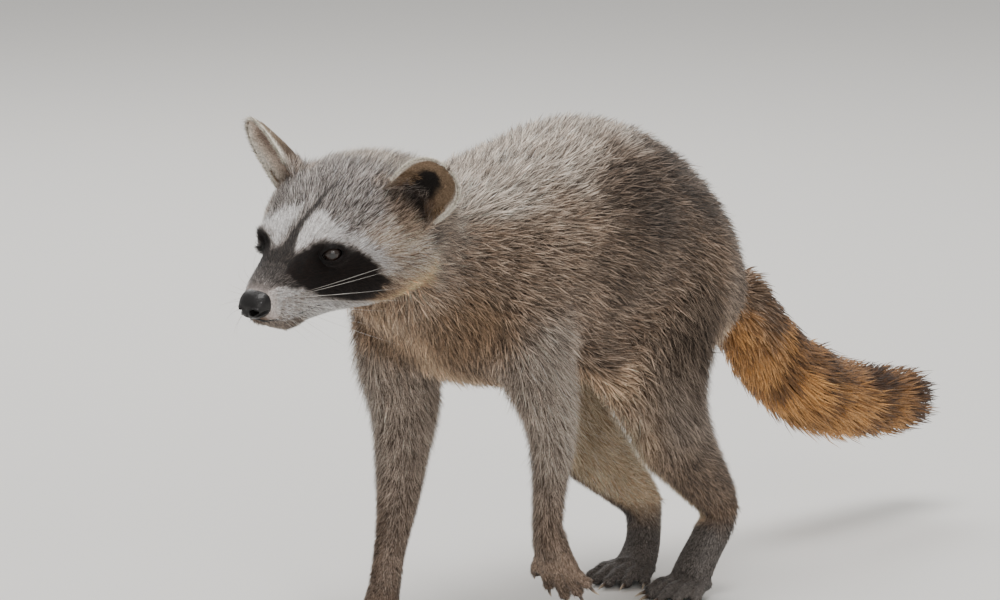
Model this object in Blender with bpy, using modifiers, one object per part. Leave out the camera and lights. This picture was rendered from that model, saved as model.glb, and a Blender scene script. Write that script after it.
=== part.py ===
"""A life-size raccoon in mid walk, head low, left forepaw lifted.

Metres, +Z up, the animal faces -Y and its left side is +X.
Every surface stands at the tips of the coat. The body is modelled whole,
then parted by thin cuts into the parts that a person would name.
"""

import math

import bmesh
import bpy
import numpy as np
from mathutils import Matrix, Vector

# Gap left between two parts that meet, and how wide the cuts are.
GAP = 0.0003

# Fusing: voxel size and rounds of easing, then the triangles left.
BODY_FUSE = (0.0035, 10)
BODY_TRIANGLES = 2800
HEAD_FUSE = (0.0020, 8)
HEAD_TRIANGLES = 1180
TRUNK_SQUARENESS = 2.15
HEAD_SQUARENESS = 2.35

# Trunk sections, tail root to neck: place along Y, top, underside, half width.
TRUNK = (
    (0.226, 0.200, 0.168, 0.016),
    (0.214, 0.213, 0.158, 0.026),
    (0.197, 0.232, 0.149, 0.037),
    (0.174, 0.256, 0.142, 0.049),
    (0.145, 0.279, 0.140, 0.059),
    (0.105, 0.301, 0.142, 0.066),
    (0.058, 0.3115, 0.146, 0.0695),
    (0.010, 0.3040, 0.149, 0.0690),
    (-0.030, 0.2985, 0.153, 0.066),
    (-0.064, 0.2920, 0.160, 0.060),
    (-0.092, 0.2860, 0.174, 0.054),
    (-0.118, 0.2860, 0.194, 0.049),
    (-0.150, 0.290, 0.214, 0.047),
)

# Head frame: the point between the eyes, and how the head is turned.
HEAD_AT = Vector((-0.001, -0.218, 0.263))
HEAD_YAW = math.radians(3)
HEAD_PITCH = math.radians(18)
HEAD_ROLL = math.radians(3.5)

# Head sections, nape to muzzle tip, in the head frame:
# forward, top, underside, half width, height of the widest level.
HEAD = (
    (-0.100, 0.022, -0.056, 0.045, -0.014),
    (-0.082, 0.029, -0.056, 0.051, -0.014),
    (-0.064, 0.033, -0.055, 0.056, -0.014),
    (-0.046, 0.033, -0.053, 0.058, -0.014),
    (-0.029, 0.029, -0.050, 0.054, -0.014),
    (-0.014, 0.023, -0.046, 0.044, -0.013),
    (0.000, 0.0165, -0.043, 0.031, -0.012),
    (0.012, 0.0095, -0.0415, 0.0225, -0.013),
    (0.024, 0.0035, -0.0395, 0.0182, -0.014),
    (0.036, -0.0018, -0.0350, 0.0152, -0.014),
    (0.044, -0.0045, -0.0300, 0.0120, -0.016),
    (0.049, -0.0080, -0.0275, 0.0084, -0.017),
)
# The trunk is widest at this share of its top and the rest of its underside.
TRUNK_MIDDLE = 0.55
# Sections along the trunk and the head, and points round each.
TRUNK_STEPS = 32
HEAD_STEPS = 34
BODY_AROUND = 32
# Nose sections, in the head frame: forward, top, underside, half width, level.
NOSE = (
    (0.0408, -0.0060, -0.0224, 0.0104, -0.0142),
    (0.0450, -0.0064, -0.0224, 0.0103, -0.0146),
    (0.0490, -0.0074, -0.0222, 0.0095, -0.0150),
    (0.0525, -0.0092, -0.0213, 0.0078, -0.0154),
    (0.0547, -0.0116, -0.0197, 0.0049, -0.0158),
)
NOSE_STEPS = 6
NOSE_AROUND = 16
NOSE_SQUARENESS = 2.4
# Where the head is cut for the nose: forward of, and above. Then how wide and long the cut is.
NOSE_SEAT = (0.0405, -0.0227)
NOSE_SEAT_WIDTH = 0.06
NOSE_SEAT_LENGTH = 0.04
# Each hollow of the nose: place in the head frame and half sizes.
NOSTRIL = ((0.0528, 0.0053, -0.0160), (0.0042, 0.0021, 0.0018))
NOSTRIL_SLIT = ((0.0493, 0.0087, -0.0171), (0.0036, 0.0028, 0.0009))
NOSE_GROOVE = ((0.0555, 0.0, -0.0182), (0.0018, 0.0006, 0.0050))
HOLLOW_ROUND = (8, 5)
GROOVE_ROUND = (6, 5)

EYE_RADIUS = 0.0075
EYE_AT = (-0.0010, 0.0232, 0.0012)
EYE_OUTWARD = math.radians(46)
EYE_UPWARD = math.radians(8)
LID_THICKNESS = 0.0019
LID_OPENING = (0.0066, 0.0046)
# Segments and rings of the balls of the lids and of the eye, and where the opening's cutter sits.
LID_ROUND = (18, 11)
EYE_ROUND = (14, 8)
OPENING_SHIFT = 0.65

# Mouth line, from under the nose back to the corner: forward, left, up.
MOUTH = (
    (0.0520, 0.0000, -0.0240),
    (0.0450, 0.0105, -0.0262),
    (0.0375, 0.0160, -0.0280),
    (0.0290, 0.0185, -0.0295),
    (0.0200, 0.0215, -0.0315),
    (0.0110, 0.0255, -0.0315),
    (0.0050, 0.0290, -0.0290),
)
MOUTH_DEPTH = 0.0045
MOUTH_HEIGHT = 0.0009
# The mouth's blade points away from a line this share of the way back.
MOUTH_CENTRE = 0.8
# The blade stands out of the skin by this share of its depth.
MOUTH_PROUD = 0.25

# Ear: base and tip in the head frame, half width, and how deep it is cupped.
# The left ear faces ahead, and the right one is turned further out.
EAR_BASE = (-0.0486, 0.0500, 0.0160)
EAR_TIP = (-0.0570, 0.0750, 0.0415)
EAR_FACING = {1: (0.94, 0.32, 0.03), -1: (0.84, -0.54, 0.03)}
EAR_ROOT = 0.014
EAR_HALF_WIDTH = 0.0205
EAR_WALL = 0.0028
EAR_ROUNDNESS = 3.4
EAR_CURL = (72, 30)  # degrees each way, at the root and at the tip
EAR_RINGS = 8
EAR_AROUND = 8
EAR_TIP_LEFT = 0.012
# Narrowing at the ear's base, the wall's thickness at base and tip, and at the middle and rim.
EAR_WAIST = 0.10
EAR_WALL_SHAPE = (1.15, 0.5)
EAR_RIM_SHAPE = (0.45, 0.55)

# Brow, whisker pad and chin: place in the head frame, and half sizes along it.
SWELLINGS = (
    ((-0.004, 0.0175, 0.0085), (0.014, 0.0110, 0.0075)),
    ((0.030, 0.0095, -0.0215), (0.015, 0.0086, 0.0085)),
    ((0.024, 0.0040, -0.0350), (0.012, 0.0090, 0.0050)),
)
SWELLING_ROUND = (24, 14)

# Cheek ruff: forward place of its roots, tips and height over the coat in the
# head frame, then the tiers: forward shift, first and last angle, how many.
RUFF_FROM = -0.034
RUFF_LENGTH = 0.042
RUFF_SUNK = 0.0028
RUFF_RISE = 0.0085
RUFF_WIDTH = 0.0125
RUFF_THICKNESS = 0.0022
RUFF_DROOP = 0.10
RUFF_TIERS = ((0.0, -6, -78, 5), (0.016, -12, -64, 4))
# The least and most that a lock's length and width are varied by.
RUFF_LENGTHS = (0.88, 1.0)
RUFF_WIDTHS = (0.9, 1.1)

# Limbs, top to bottom: x, y, z, half width across, half depth fore and aft.
LEFT_FORELEG = (
    (0.040, -0.054, 0.230, 0.026, 0.040),
    (0.047, -0.056, 0.205, 0.024, 0.038),
    (0.053, -0.052, 0.175, 0.0215, 0.033),
    (0.055, -0.044, 0.148, 0.0180, 0.0255),
    (0.053, -0.0380, 0.118, 0.0150, 0.0160),
    (0.050, -0.0360, 0.092, 0.0115, 0.0115),
    (0.0477, -0.0345, 0.071, 0.0104, 0.0102),
    (0.047, -0.0305, 0.056, 0.0110, 0.0102),
)
RIGHT_FORELEG = (
    (-0.040, -0.060, 0.230, 0.026, 0.040),
    (-0.048, -0.060, 0.205, 0.026, 0.038),
    (-0.053, -0.052, 0.172, 0.0255, 0.036),
    (-0.052, -0.047, 0.142, 0.0230, 0.0305),
    (-0.049, -0.054, 0.110, 0.0170, 0.0220),
    (-0.044, -0.066, 0.078, 0.0128, 0.0145),
    (-0.041, -0.078, 0.050, 0.0104, 0.0108),
    (-0.0390, -0.0862, 0.030, 0.0100, 0.0100),
)
LEFT_HINDLEG = (
    (0.034, 0.138, 0.225, 0.032, 0.045),
    (0.046, 0.106, 0.190, 0.029, 0.044),
    (0.056, 0.080, 0.158, 0.0255, 0.0425),
    (0.060, 0.0765, 0.130, 0.0220, 0.0405),
    (0.058, 0.0965, 0.104, 0.0190, 0.0290),
    (0.055, 0.1220, 0.080, 0.0155, 0.0210),
    (0.052, 0.1430, 0.062, 0.0130, 0.0165),
    (0.051, 0.148, 0.048, 0.0125, 0.0140),
)
RIGHT_HINDLEG = (
    (-0.034, 0.138, 0.225, 0.032, 0.045),
    (-0.044, 0.122, 0.190, 0.029, 0.044),
    (-0.047, 0.112, 0.158, 0.0255, 0.041),
    (-0.045, 0.108, 0.128, 0.0220, 0.038),
    (-0.037, 0.121, 0.098, 0.0190, 0.0310),
    (-0.028, 0.145, 0.070, 0.0155, 0.0215),
    (-0.022, 0.163, 0.051, 0.0130, 0.0160),
    (-0.0205, 0.1675, 0.040, 0.0125, 0.0140),
)

# Paws, from the joint above to the roots of the toes, same columns as limbs.
LEFT_FOREPAW = (
    (0.0477, -0.0340, 0.0700, 0.0104, 0.0102),
    (0.0470, -0.0300, 0.0600, 0.0121, 0.0098),
    (0.0464, -0.0250, 0.0500, 0.0142, 0.0088),
    (0.0458, -0.0210, 0.0420, 0.0135, 0.0074),
)
RIGHT_FOREPAW = (
    (-0.0402, -0.0800, 0.0450, 0.0104, 0.0108),
    (-0.0388, -0.0860, 0.0300, 0.0106, 0.0104),
    (-0.0376, -0.0930, 0.0175, 0.0126, 0.0110),
    (-0.0367, -0.1020, 0.0095, 0.0146, 0.0100),
    (-0.0362, -0.1100, 0.0085, 0.0140, 0.0080),
)
LEFT_HINDPAW = (
    (0.0515, 0.1475, 0.0580, 0.0130, 0.0145),
    (0.0510, 0.1460, 0.0470, 0.0123, 0.0132),
    (0.0490, 0.1380, 0.0340, 0.0123, 0.0118),
    (0.0465, 0.1295, 0.0210, 0.0136, 0.0108),
    (0.0445, 0.1230, 0.0092, 0.0150, 0.0092),
    (0.0440, 0.1170, 0.0085, 0.0140, 0.0080),
)
RIGHT_HINDPAW = (
    (-0.0215, 0.1665, 0.0500, 0.0130, 0.0145),
    (-0.0205, 0.1665, 0.0400, 0.0123, 0.0132),
    (-0.0180, 0.1635, 0.0270, 0.0118, 0.0108),
    (-0.0155, 0.1560, 0.0165, 0.0132, 0.0098),
    (-0.0135, 0.1455, 0.0088, 0.0150, 0.0092),
    (-0.0130, 0.1375, 0.0085, 0.0140, 0.0080),
)

# Toes: sideways start, spread angle in degrees, length; inner toe first.
FORE_TOES = (
    (-0.0105, -30, 0.0190),
    (-0.0060, -13, 0.0250),
    (0.0000, 0, 0.0275),
    (0.0060, 12, 0.0255),
    (0.0105, 28, 0.0205),
)
HIND_TOES = (
    (-0.0115, -24, 0.0210),
    (-0.0065, -10, 0.0275),
    (0.0000, 0, 0.0300),
    (0.0065, 9, 0.0290),
    (0.0115, 22, 0.0240),
)
TOE_RADIUS = 0.0047
# Along a toe: share of its length, and its thickness there.
TOE_SHAPE = ((-0.25, 1.0), (0.3, 1.04), (0.8, 0.95), (1.0, 0.45))
TOE_ARCH = 0.0016
TOE_SET_BACK = 0.35
TOE_SAG_POWER = 1.6
# How far the toes' roots lie back in the paw, and a claw's root in its toe.
TOE_SUNK = 0.004
CLAW_SUNK = 0.001
CLAW_LENGTH = 0.0095
CLAW_RADIUS = 0.0017
CLAW_FLATNESS = 0.8
CLAW_SHAPE = ((-0.45, 1.0), (0.15, 0.95), (0.6, 0.62), (1.0, 0.16))
# On the floor and in the air: how far a claw curls, and how high it sits on its toe.
CLAW_CURL = {True: 0.15, False: 0.32}
CLAW_LIFT = {True: 0.45, False: 0.25}

# Tail: axis points, radius of the core under the coat, radius at the tips.
TAIL = (
    (0.0, 0.218, 0.189, 0.0165, 0.0205),
    (0.0, 0.249, 0.158, 0.0170, 0.0270),
    (0.0, 0.283, 0.126, 0.0170, 0.0300),
    (0.0, 0.327, 0.101, 0.0165, 0.0295),
    (0.0, 0.376, 0.086, 0.0155, 0.0285),
    (0.0, 0.427, 0.079, 0.0130, 0.0260),
    (0.0, 0.462, 0.077, 0.0050, 0.0155),
)
TAIL_AROUND = 16
# Every so many steps have a ring of the core.
TAIL_STRIDE = 4
TAIL_STEPS = 60
TAIL_CORE_END = 58
# Steps at which the tail is parted, and the first tier and spacing of the locks.
TAIL_SPLITS = (0, 20, 40, 60)
TAIL_LOCKS_AROUND = 7
TAIL_LOCK_LENGTH = 0.046
TAIL_LOCK_WIDTH = 0.0195
TAIL_LOCK_THICKNESS = 0.0030
TAIL_LOCK_SUNK = 0.74
# Metres from a part's start to its first tier, and kept free before its end.
TAIL_TIER_FIRST = 0.005
TAIL_TIER_LAST = 0.0135
TAIL_TIERS = 4
# The least and most that a lock's reach, length and width are varied by, and its turn round the tail.
TAIL_REACHES = (0.96, 1.0)
TAIL_LENGTHS = (0.92, 1.0)
TAIL_WIDTHS = (0.9, 1.1)
TAIL_TURNS = (-0.10, 0.10)
# Which row of the tail a lock's full width belongs to.
TAIL_WIDEST = 2
SEED = 7
# How fast a lock rises from the core: higher stays flat for longer at its tip.
LOCK_CURVE = 1.5

# Along a lock: share of its length, its width and its thickness there.
LOCK_SHAPE = ((0.0, 0.80, 1.0), (0.36, 1.0, 0.80), (0.74, 0.76, 0.52), (1.0, 0.08, 0.14))

# Where the body is parted: place, normal and radius of each cut.
CUTS = {
    "neck": ((0.0, -0.108, 0.235), (0, 1, 0.15), 0.085),
    "shoulder_left": ((0.0515, -0.048, 0.1660), (0.72, 0, -0.69), 0.060),
    "elbow_left": ((0.054, -0.042, 0.132), (0.1, 0, -1), 0.036),
    "wrist_left": ((0.0475, -0.033, 0.066), (0, 0, -1), 0.022),
    "shoulder_right": ((-0.0515, -0.052, 0.1660), (-0.72, 0, -0.69), 0.060),
    "elbow_right": ((-0.051, -0.050, 0.127), (-0.1, 0, -1), 0.040),
    "wrist_right": ((-0.0400, -0.081, 0.042), (0, -0.3, -1), 0.024),
    "hip_left": ((0.0500, 0.088, 0.1620), (0.72, 0.0, -0.69), 0.066),
    "knee_left": ((0.059, 0.087, 0.114), (0, 0.4, -0.9), 0.047),
    "hock_left": ((0.0515, 0.147, 0.055), (0, 0.4, -0.9), 0.030),
    "hip_right": ((-0.0500, 0.114, 0.1620), (-0.72, 0.0, -0.69), 0.066),
    "knee_right": ((-0.042, 0.113, 0.112), (0, 0.4, -0.9), 0.046),
    "hock_right": ((-0.0215, 0.165, 0.047), (0, 0.5, -0.85), 0.030),
}
HEAD_PLANE = ((0.0, -0.146, 0.250), (0, 1, 0.05))
DISC_AROUND = 32
LIMB_STEPS = 20
# Half width and depth of the blocks that part the neck, the tail, the paws and the floor.
NECK_BLOCK = (0.4, 0.3)
TAIL_BLOCK = (0.09, 0.06)
HEAD_BLOCK = (0.6, 0.6)
PAW_BLOCK = (0.12, 0.12)
FLOOR_BLOCK = (2.0, 0.1)
# Points round a limb's paw, toe and claw, and steps along each.
PAW_MESH = (12, 7)
TOE_MESH = (6, 5)
CLAW_MESH = (4, 3)

# The middle of each part of the body, once it has been cut.
NAMES = {
    "torso": (0, 0.065, 0.23),
    "neck": (0, -0.127, 0.25),
    "foreleg_left_upper": (0.056, -0.030, 0.150),
    "foreleg_left_lower": (0.052, -0.030, 0.100),
    "foreleg_right_upper": (-0.053, -0.052, 0.148),
    "foreleg_right_lower": (-0.045, -0.066, 0.085),
    "hindleg_left_thigh": (0.060, 0.090, 0.140),
    "hindleg_left_shin": (0.055, 0.120, 0.085),
    "hindleg_right_thigh": (-0.046, 0.108, 0.140),
    "hindleg_right_shin": (-0.032, 0.138, 0.080),
}

# Paws: rows, toes, way the toes run, way down, drop of the tips, cut above, on the floor, side.
PAWS = {
    "forepaw_left": (LEFT_FOREPAW, FORE_TOES, (-0.06, 0.36, -0.92), (0, 0.92, 0.36), 0.0040,
                     "wrist_left", False, 1),
    "forepaw_right": (RIGHT_FOREPAW, FORE_TOES, (0.02, -1, 0), (0, 0, -1), 0.0066,
                      "wrist_right", True, -1),
    "hindpaw_left": (LEFT_HINDPAW, HIND_TOES, (-0.05, -1, 0), (0, 0, -1), 0.0066,
                     "hock_left", True, 1),
    "hindpaw_right": (RIGHT_HINDPAW, HIND_TOES, (0.05, -1, 0), (0, 0, -1), 0.0066,
                      "hock_right", True, -1),
}

# Colour and roughness of each kind of part, by the start of its name.
FINISHES = {
    "torso": ((0.22, 0.20, 0.18), 0.85),
    "neck": ((0.22, 0.20, 0.18), 0.85),
    "foreleg": ((0.20, 0.17, 0.14), 0.85),
    "hindleg": ((0.20, 0.17, 0.14), 0.85),
    "tail": ((0.28, 0.21, 0.12), 0.85),
    "forepaw": ((0.09, 0.07, 0.06), 0.80),
    "hindpaw": ((0.06, 0.05, 0.045), 0.80),
    "head": ((0.45, 0.43, 0.40), 0.85),
    "ear": ((0.45, 0.43, 0.40), 0.85),
    "nose": ((0.015, 0.013, 0.013), 0.35),
    "eye": ((0.010, 0.007, 0.005), 0.08),
}


def spline_rows(rows, count):
    """Rows resampled along a Catmull-Rom curve through them, evenly by chord length."""
    points = np.array(rows, float)
    ends = np.vstack([2 * points[0] - points[1], points, 2 * points[-1] - points[-2]])
    steps = np.linalg.norm(np.diff(points[:, :3], axis=0), axis=1)
    knots = np.concatenate([[0], np.cumsum(steps)])
    wanted = np.linspace(0, knots[-1], count)
    index = np.clip(np.searchsorted(knots, wanted, side="right") - 1, 0, len(points) - 2)
    t = ((wanted - knots[index]) / (knots[index + 1] - knots[index]))[:, None]
    a, b, c, d = (ends[index + k] for k in range(4))
    return 0.5 * (
        2 * b + (c - a) * t + (2 * a - 5 * b + 4 * c - d) * t**2 + (3 * b - a - 3 * c + d) * t**3
    )


def unit(vectors):
    """Vectors scaled to length 1, along the last axis."""
    vectors = np.asarray(vectors, float)
    return vectors / np.linalg.norm(vectors, axis=-1, keepdims=True)


def new_object(name, points, faces):
    """A mesh object in the scene's own collection."""
    mesh = bpy.data.meshes.new(name)
    mesh.from_pydata([tuple(p) for p in points], [], [tuple(f) for f in faces])
    mesh.update()
    made = bpy.data.objects.new(name, mesh)
    bpy.context.scene.collection.objects.link(made)
    return made


def loft(name, rings):
    """A closed skin over rings of points, capped flat at both ends."""
    rings = np.asarray(rings, float)
    stations, around = rings.shape[:2]
    faces = []
    for i in range(stations - 1):
        for j in range(around):
            k = (j + 1) % around
            faces.append((i * around + j, i * around + k, (i + 1) * around + k, (i + 1) * around + j))
    faces.append(tuple(reversed(range(around))))
    faces.append(tuple(range((stations - 1) * around, stations * around)))
    made = new_object(name, rings.reshape(-1, 3), faces)
    edit = bmesh.new()
    edit.from_mesh(made.data)
    bmesh.ops.recalc_face_normals(edit, faces=edit.faces)
    edit.to_mesh(made.data)
    edit.free()
    return made


def ovals(centres, across, upward, wide, high, low, around, power=2.0):
    """Rings of superellipses: half width wide, reaching high above and low under each centre."""
    angle = np.linspace(0, 2 * math.pi, around, endpoint=False)
    cos, sin = np.cos(angle), np.sin(angle)
    x = np.sign(cos) * np.abs(cos) ** (2 / power)
    y = np.sign(sin) * np.abs(sin) ** (2 / power)
    reach = np.where(y[None, :] > 0, np.asarray(high)[:, None], np.asarray(low)[:, None])
    sideways = np.asarray(wide)[:, None] * x[None, :]
    return (
        np.asarray(centres)[:, None, :]
        + sideways[..., None] * np.asarray(across)[:, None, :]
        + (reach * y[None, :])[..., None] * np.asarray(upward)[:, None, :]
    )


def tube(name, rows, around, side=(1, 0, 0), count=None):
    """A loft along rows of x, y, z, half width across, half depth, with the sections square to the path."""
    rows = spline_rows(rows, count or 2 * len(rows))
    path = rows[:, :3]
    tangent = unit(np.gradient(path, axis=0))
    across = unit(np.asarray(side, float) - tangent * (tangent @ np.asarray(side, float))[:, None])
    depth = np.cross(tangent, across)
    return loft(name, ovals(path, across, depth, rows[:, 3], rows[:, 4], rows[:, 4], around))


def join_boolean(name, pieces, solver="EXACT"):
    """One closed object from overlapping closed pieces, which are then removed."""
    base, others = pieces[0], pieces[1:]
    base.name = name
    if others:
        group = bpy.data.collections.new("to join")
        for piece in others:
            group.objects.link(piece)
        step = base.modifiers.new("join", "BOOLEAN")
        step.operation = "UNION"
        step.operand_type = "COLLECTION"
        step.collection = group
        step.solver = solver
        if solver == "EXACT":
            step.use_self = True
        apply_modifiers(base)
        for piece in others:
            bpy.data.objects.remove(piece)
        bpy.data.collections.remove(group)
    return keep_largest(base)


def apply_modifiers(made):
    """Replaces an object's mesh with what its modifiers give."""
    depsgraph = bpy.context.evaluated_depsgraph_get()
    depsgraph.update()
    mesh = bpy.data.meshes.new_from_object(made.evaluated_get(depsgraph))
    old = made.data
    made.modifiers.clear()
    made.data = mesh
    mesh.name = made.name
    bpy.data.meshes.remove(old)
    return made


def subtract(made, cutter):
    """Cuts cutter out of made, and removes the cutter."""
    step = made.modifiers.new("cut", "BOOLEAN")
    step.operation = "DIFFERENCE"
    step.object = cutter
    apply_modifiers(made)
    bpy.data.objects.remove(cutter)
    return made


def islands(mesh):
    """Lists of face indices, one list for each separate surface."""
    edit = bmesh.new()
    edit.from_mesh(mesh)
    edit.faces.ensure_lookup_table()
    seen, found = set(), []
    for start in edit.faces:
        if start.index in seen:
            continue
        group, queue = [], [start]
        seen.add(start.index)
        while queue:
            face = queue.pop()
            group.append(face.index)
            for edge in face.edges:
                for other in edge.link_faces:
                    if other.index not in seen:
                        seen.add(other.index)
                        queue.append(other)
        found.append(group)
    edit.free()
    return found


def take_faces(made, name, indices):
    """A new object from some faces of a mesh."""
    edit = bmesh.new()
    edit.from_mesh(made.data)
    wanted = set(indices)
    drop = [f for f in edit.faces if f.index not in wanted]
    bmesh.ops.delete(edit, geom=drop, context="FACES")
    mesh = bpy.data.meshes.new(name)
    edit.to_mesh(mesh)
    edit.free()
    taken = bpy.data.objects.new(name, mesh)
    bpy.context.scene.collection.objects.link(taken)
    return taken


def keep_largest(made):
    """Drops every closed surface but the one that spans most."""
    groups = islands(made.data)
    if len(groups) > 1:
        corners = [np.array([made.data.polygons[i].center for i in group]) for group in groups]
        spans = [np.linalg.norm(np.ptp(c, axis=0)) for c in corners]
        kept = take_faces(made, "kept", groups[int(np.argmax(spans))])
        mesh = kept.data
        bpy.data.objects.remove(kept)
        old = made.data
        made.data = mesh
        mesh.name = made.name
        bpy.data.meshes.remove(old)
    return made


def head_matrix():
    """From the head frame (forward, left, up) to the body's axes."""
    forward = Vector((-math.sin(HEAD_YAW), -math.cos(HEAD_YAW), 0)) * math.cos(HEAD_PITCH)
    forward.z = -math.sin(HEAD_PITCH)
    left = Vector((0, 0, 1)).cross(forward).normalized()
    up = forward.cross(left)
    rolled_left = left * math.cos(HEAD_ROLL) - up * math.sin(HEAD_ROLL)
    rolled_up = forward.cross(rolled_left)
    turn = Matrix((forward, rolled_left, rolled_up)).transposed().to_4x4()
    return Matrix.Translation(HEAD_AT) @ turn


def trunk_form():
    """Torso and neck, upright ovals along Y."""
    rows = np.array([(0, y, 0, top, low, wide) for y, top, low, wide in TRUNK])
    rows = spline_rows(rows, TRUNK_STEPS)
    middle = TRUNK_MIDDLE * rows[:, 3] + (1 - TRUNK_MIDDLE) * rows[:, 4]
    centres = np.stack([rows[:, 0], rows[:, 1], middle], 1)
    across = np.tile((1.0, 0, 0), (len(rows), 1))
    upward = np.tile((0, 0, 1.0), (len(rows), 1))
    high, low = rows[:, 3] - middle, middle - rows[:, 4]
    rings = ovals(centres, across, upward, rows[:, 5], high, low, BODY_AROUND, TRUNK_SQUARENESS)
    return loft("trunk", rings)


def head_form():
    """Muzzle, face, cheeks and crown, ovals square to the head's own axis."""
    rows = np.array([(f, 0, 0, top, low, wide, level) for f, top, low, wide, level in HEAD])
    rows = spline_rows(rows, HEAD_STEPS)
    centres = np.stack([rows[:, 0], rows[:, 1], rows[:, 6]], 1)
    across = np.tile((0, 1.0, 0), (len(rows), 1))
    upward = np.tile((0, 0, 1.0), (len(rows), 1))
    high, low = rows[:, 3] - rows[:, 6], rows[:, 6] - rows[:, 4]
    rings = ovals(centres, across, upward, rows[:, 5], high, low, BODY_AROUND, HEAD_SQUARENESS)
    form = loft("head form", rings)
    form.data.transform(head_matrix())
    return form


def fused(name, pieces, voxel, easing):
    """Pieces fused by a voxel remesh, with their creases eased by rounds of smoothing."""
    edit = bmesh.new()
    for piece in pieces:
        edit.from_mesh(piece.data)
    mesh = bpy.data.meshes.new(name)
    edit.to_mesh(mesh)
    edit.free()
    for piece in pieces:
        bpy.data.objects.remove(piece)
    made = bpy.data.objects.new(name, mesh)
    bpy.context.scene.collection.objects.link(made)
    step = made.modifiers.new("fuse", "REMESH")
    step.mode = "VOXEL"
    step.voxel_size = voxel
    ease = made.modifiers.new("ease", "SMOOTH")
    ease.factor = 0.5
    ease.iterations = easing
    apply_modifiers(made)
    return made


def thinned(made, triangles):
    """Leaves about so many triangles in an object."""
    whole = sum(len(p.vertices) - 2 for p in made.data.polygons)
    thin = made.modifiers.new("thin", "DECIMATE")
    thin.ratio = min(1.0, triangles / whole)
    apply_modifiers(made)
    return made


def disc(place, normal, radius):
    """A cutter as thin as the gap, square to normal."""
    bpy.ops.mesh.primitive_cylinder_add(vertices=DISC_AROUND, radius=radius, depth=GAP, location=place)
    made = bpy.context.object
    made.rotation_mode = "QUATERNION"
    made.rotation_quaternion = Vector(normal).to_track_quat("Z", "Y")
    return made


def tail_axis():
    """The tail's rows at even steps, root to tip, and its direction at each."""
    fine = spline_rows(TAIL, TAIL_STEPS + 1)
    return fine, unit(np.gradient(fine[:, :3], axis=0))


def slab(place, normal, size, thickness):
    """A block that starts at place and fills the side that normal points to."""
    place, normal = Vector(place), Vector(normal).normalized()
    bpy.ops.mesh.primitive_cube_add(size=1, location=place + normal * thickness / 2)
    made = bpy.context.object
    made.rotation_mode = "QUATERNION"
    made.rotation_quaternion = normal.to_track_quat("Z", "Y")
    made.scale = (size, size, thickness)
    return made


def body():
    """The flesh from neck to hocks and wrists, parted into its named parts."""
    forms = [trunk_form(), head_form()]
    for rows in (LEFT_FORELEG, RIGHT_FORELEG, LEFT_HINDLEG, RIGHT_HINDLEG):
        forms.append(tube("limb", rows, LIMB_STEPS))
    whole = thinned(fused("whole", forms, *BODY_FUSE), BODY_TRIANGLES)
    place, normal = Vector(HEAD_PLANE[0]), Vector(HEAD_PLANE[1])
    subtract(whole, slab(place, -normal, *NECK_BLOCK))
    axis, way = tail_axis()
    subtract(whole, slab(Vector(axis[0, :3] - way[0] * GAP / 2), way[0], *TAIL_BLOCK))
    for place, normal, radius in CUTS.values():
        subtract(whole, disc(place, normal, radius))
    groups = islands(whole.data)
    middles = []
    for group in groups:
        centres = np.array([whole.data.polygons[i].center for i in group])
        middles.append((centres.min(0) + centres.max(0)) / 2)
    parts = {}
    for name, place in NAMES.items():
        away = [np.linalg.norm(middle - np.array(place)) for middle in middles]
        parts[name] = take_faces(whole, name, groups[int(np.argmin(away))])
    bpy.data.objects.remove(whole)
    return parts


def mirror_left(values, side):
    """A place in the head frame on the left (side 1) or the right (side -1)."""
    return (values[0], values[1] * side, values[2])


def ellipsoid(name, place, radii, matrix, segments=16, rings=10):
    """A closed ball scaled to radii, in the axes of matrix."""
    bpy.ops.mesh.primitive_uv_sphere_add(segments=segments, ring_count=rings, radius=1)
    made = bpy.context.object
    made.name = name
    made.data.transform(matrix @ Matrix.Translation(place) @ Matrix.Diagonal((*radii, 1)))
    return made


def gaze_matrix(side):
    """From an eye's own axes (looking along Z, up along Y) to the body's axes."""
    out, lift = EYE_OUTWARD, EYE_UPWARD
    look = Vector(
        (math.cos(out) * math.cos(lift), side * math.sin(out) * math.cos(lift), math.sin(lift))
    )
    across = Vector((0, 0, 1)).cross(look).normalized()
    upward = look.cross(across)
    turn = Matrix((across, upward, look)).transposed().to_4x4()
    return head_matrix() @ Matrix.Translation(mirror_left(EYE_AT, side)) @ turn


def ball(name, matrix, radius, segments, rings):
    """A closed ball about the origin of matrix."""
    return ellipsoid(name, (0, 0, 0), (radius, radius, radius), matrix, segments, rings)


def blade(name, rows, depth, height):
    """A thin closed cutter along rows of points, reaching depth inward and a little outward."""
    rows = spline_rows(rows, 3 * len(rows))
    centre = rows * np.array((MOUTH_CENTRE, 0, 1))
    outward = unit(rows - centre)
    outer = rows + outward * depth * MOUTH_PROUD
    inner = rows - outward * depth
    up = np.array((0, 0, height / 2))
    made = loft(name, np.stack([inner - up, outer - up, outer + up, inner + up], 1))
    made.data.transform(head_matrix())
    return made


def cut_eye(whole, side):
    """Lids over one eye: a thin ball joined on, hollowed for the eye and opened to an almond."""
    eye = gaze_matrix(side)
    whole = join_boolean("head", [whole, ball("lids", eye, EYE_RADIUS + LID_THICKNESS, *LID_ROUND)])
    subtract(whole, ball("socket", eye, EYE_RADIUS + GAP, *LID_ROUND))
    bpy.ops.mesh.primitive_cylinder_add(vertices=LID_ROUND[0], radius=1, depth=1)
    opening = bpy.context.object
    wide, high = LID_OPENING
    reach = 2 * EYE_RADIUS
    size = Matrix.Diagonal((wide, high, reach, 1))
    opening.data.transform(eye @ Matrix.Translation((0, 0, reach * OPENING_SHIFT)) @ size)
    return subtract(whole, opening)


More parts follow.
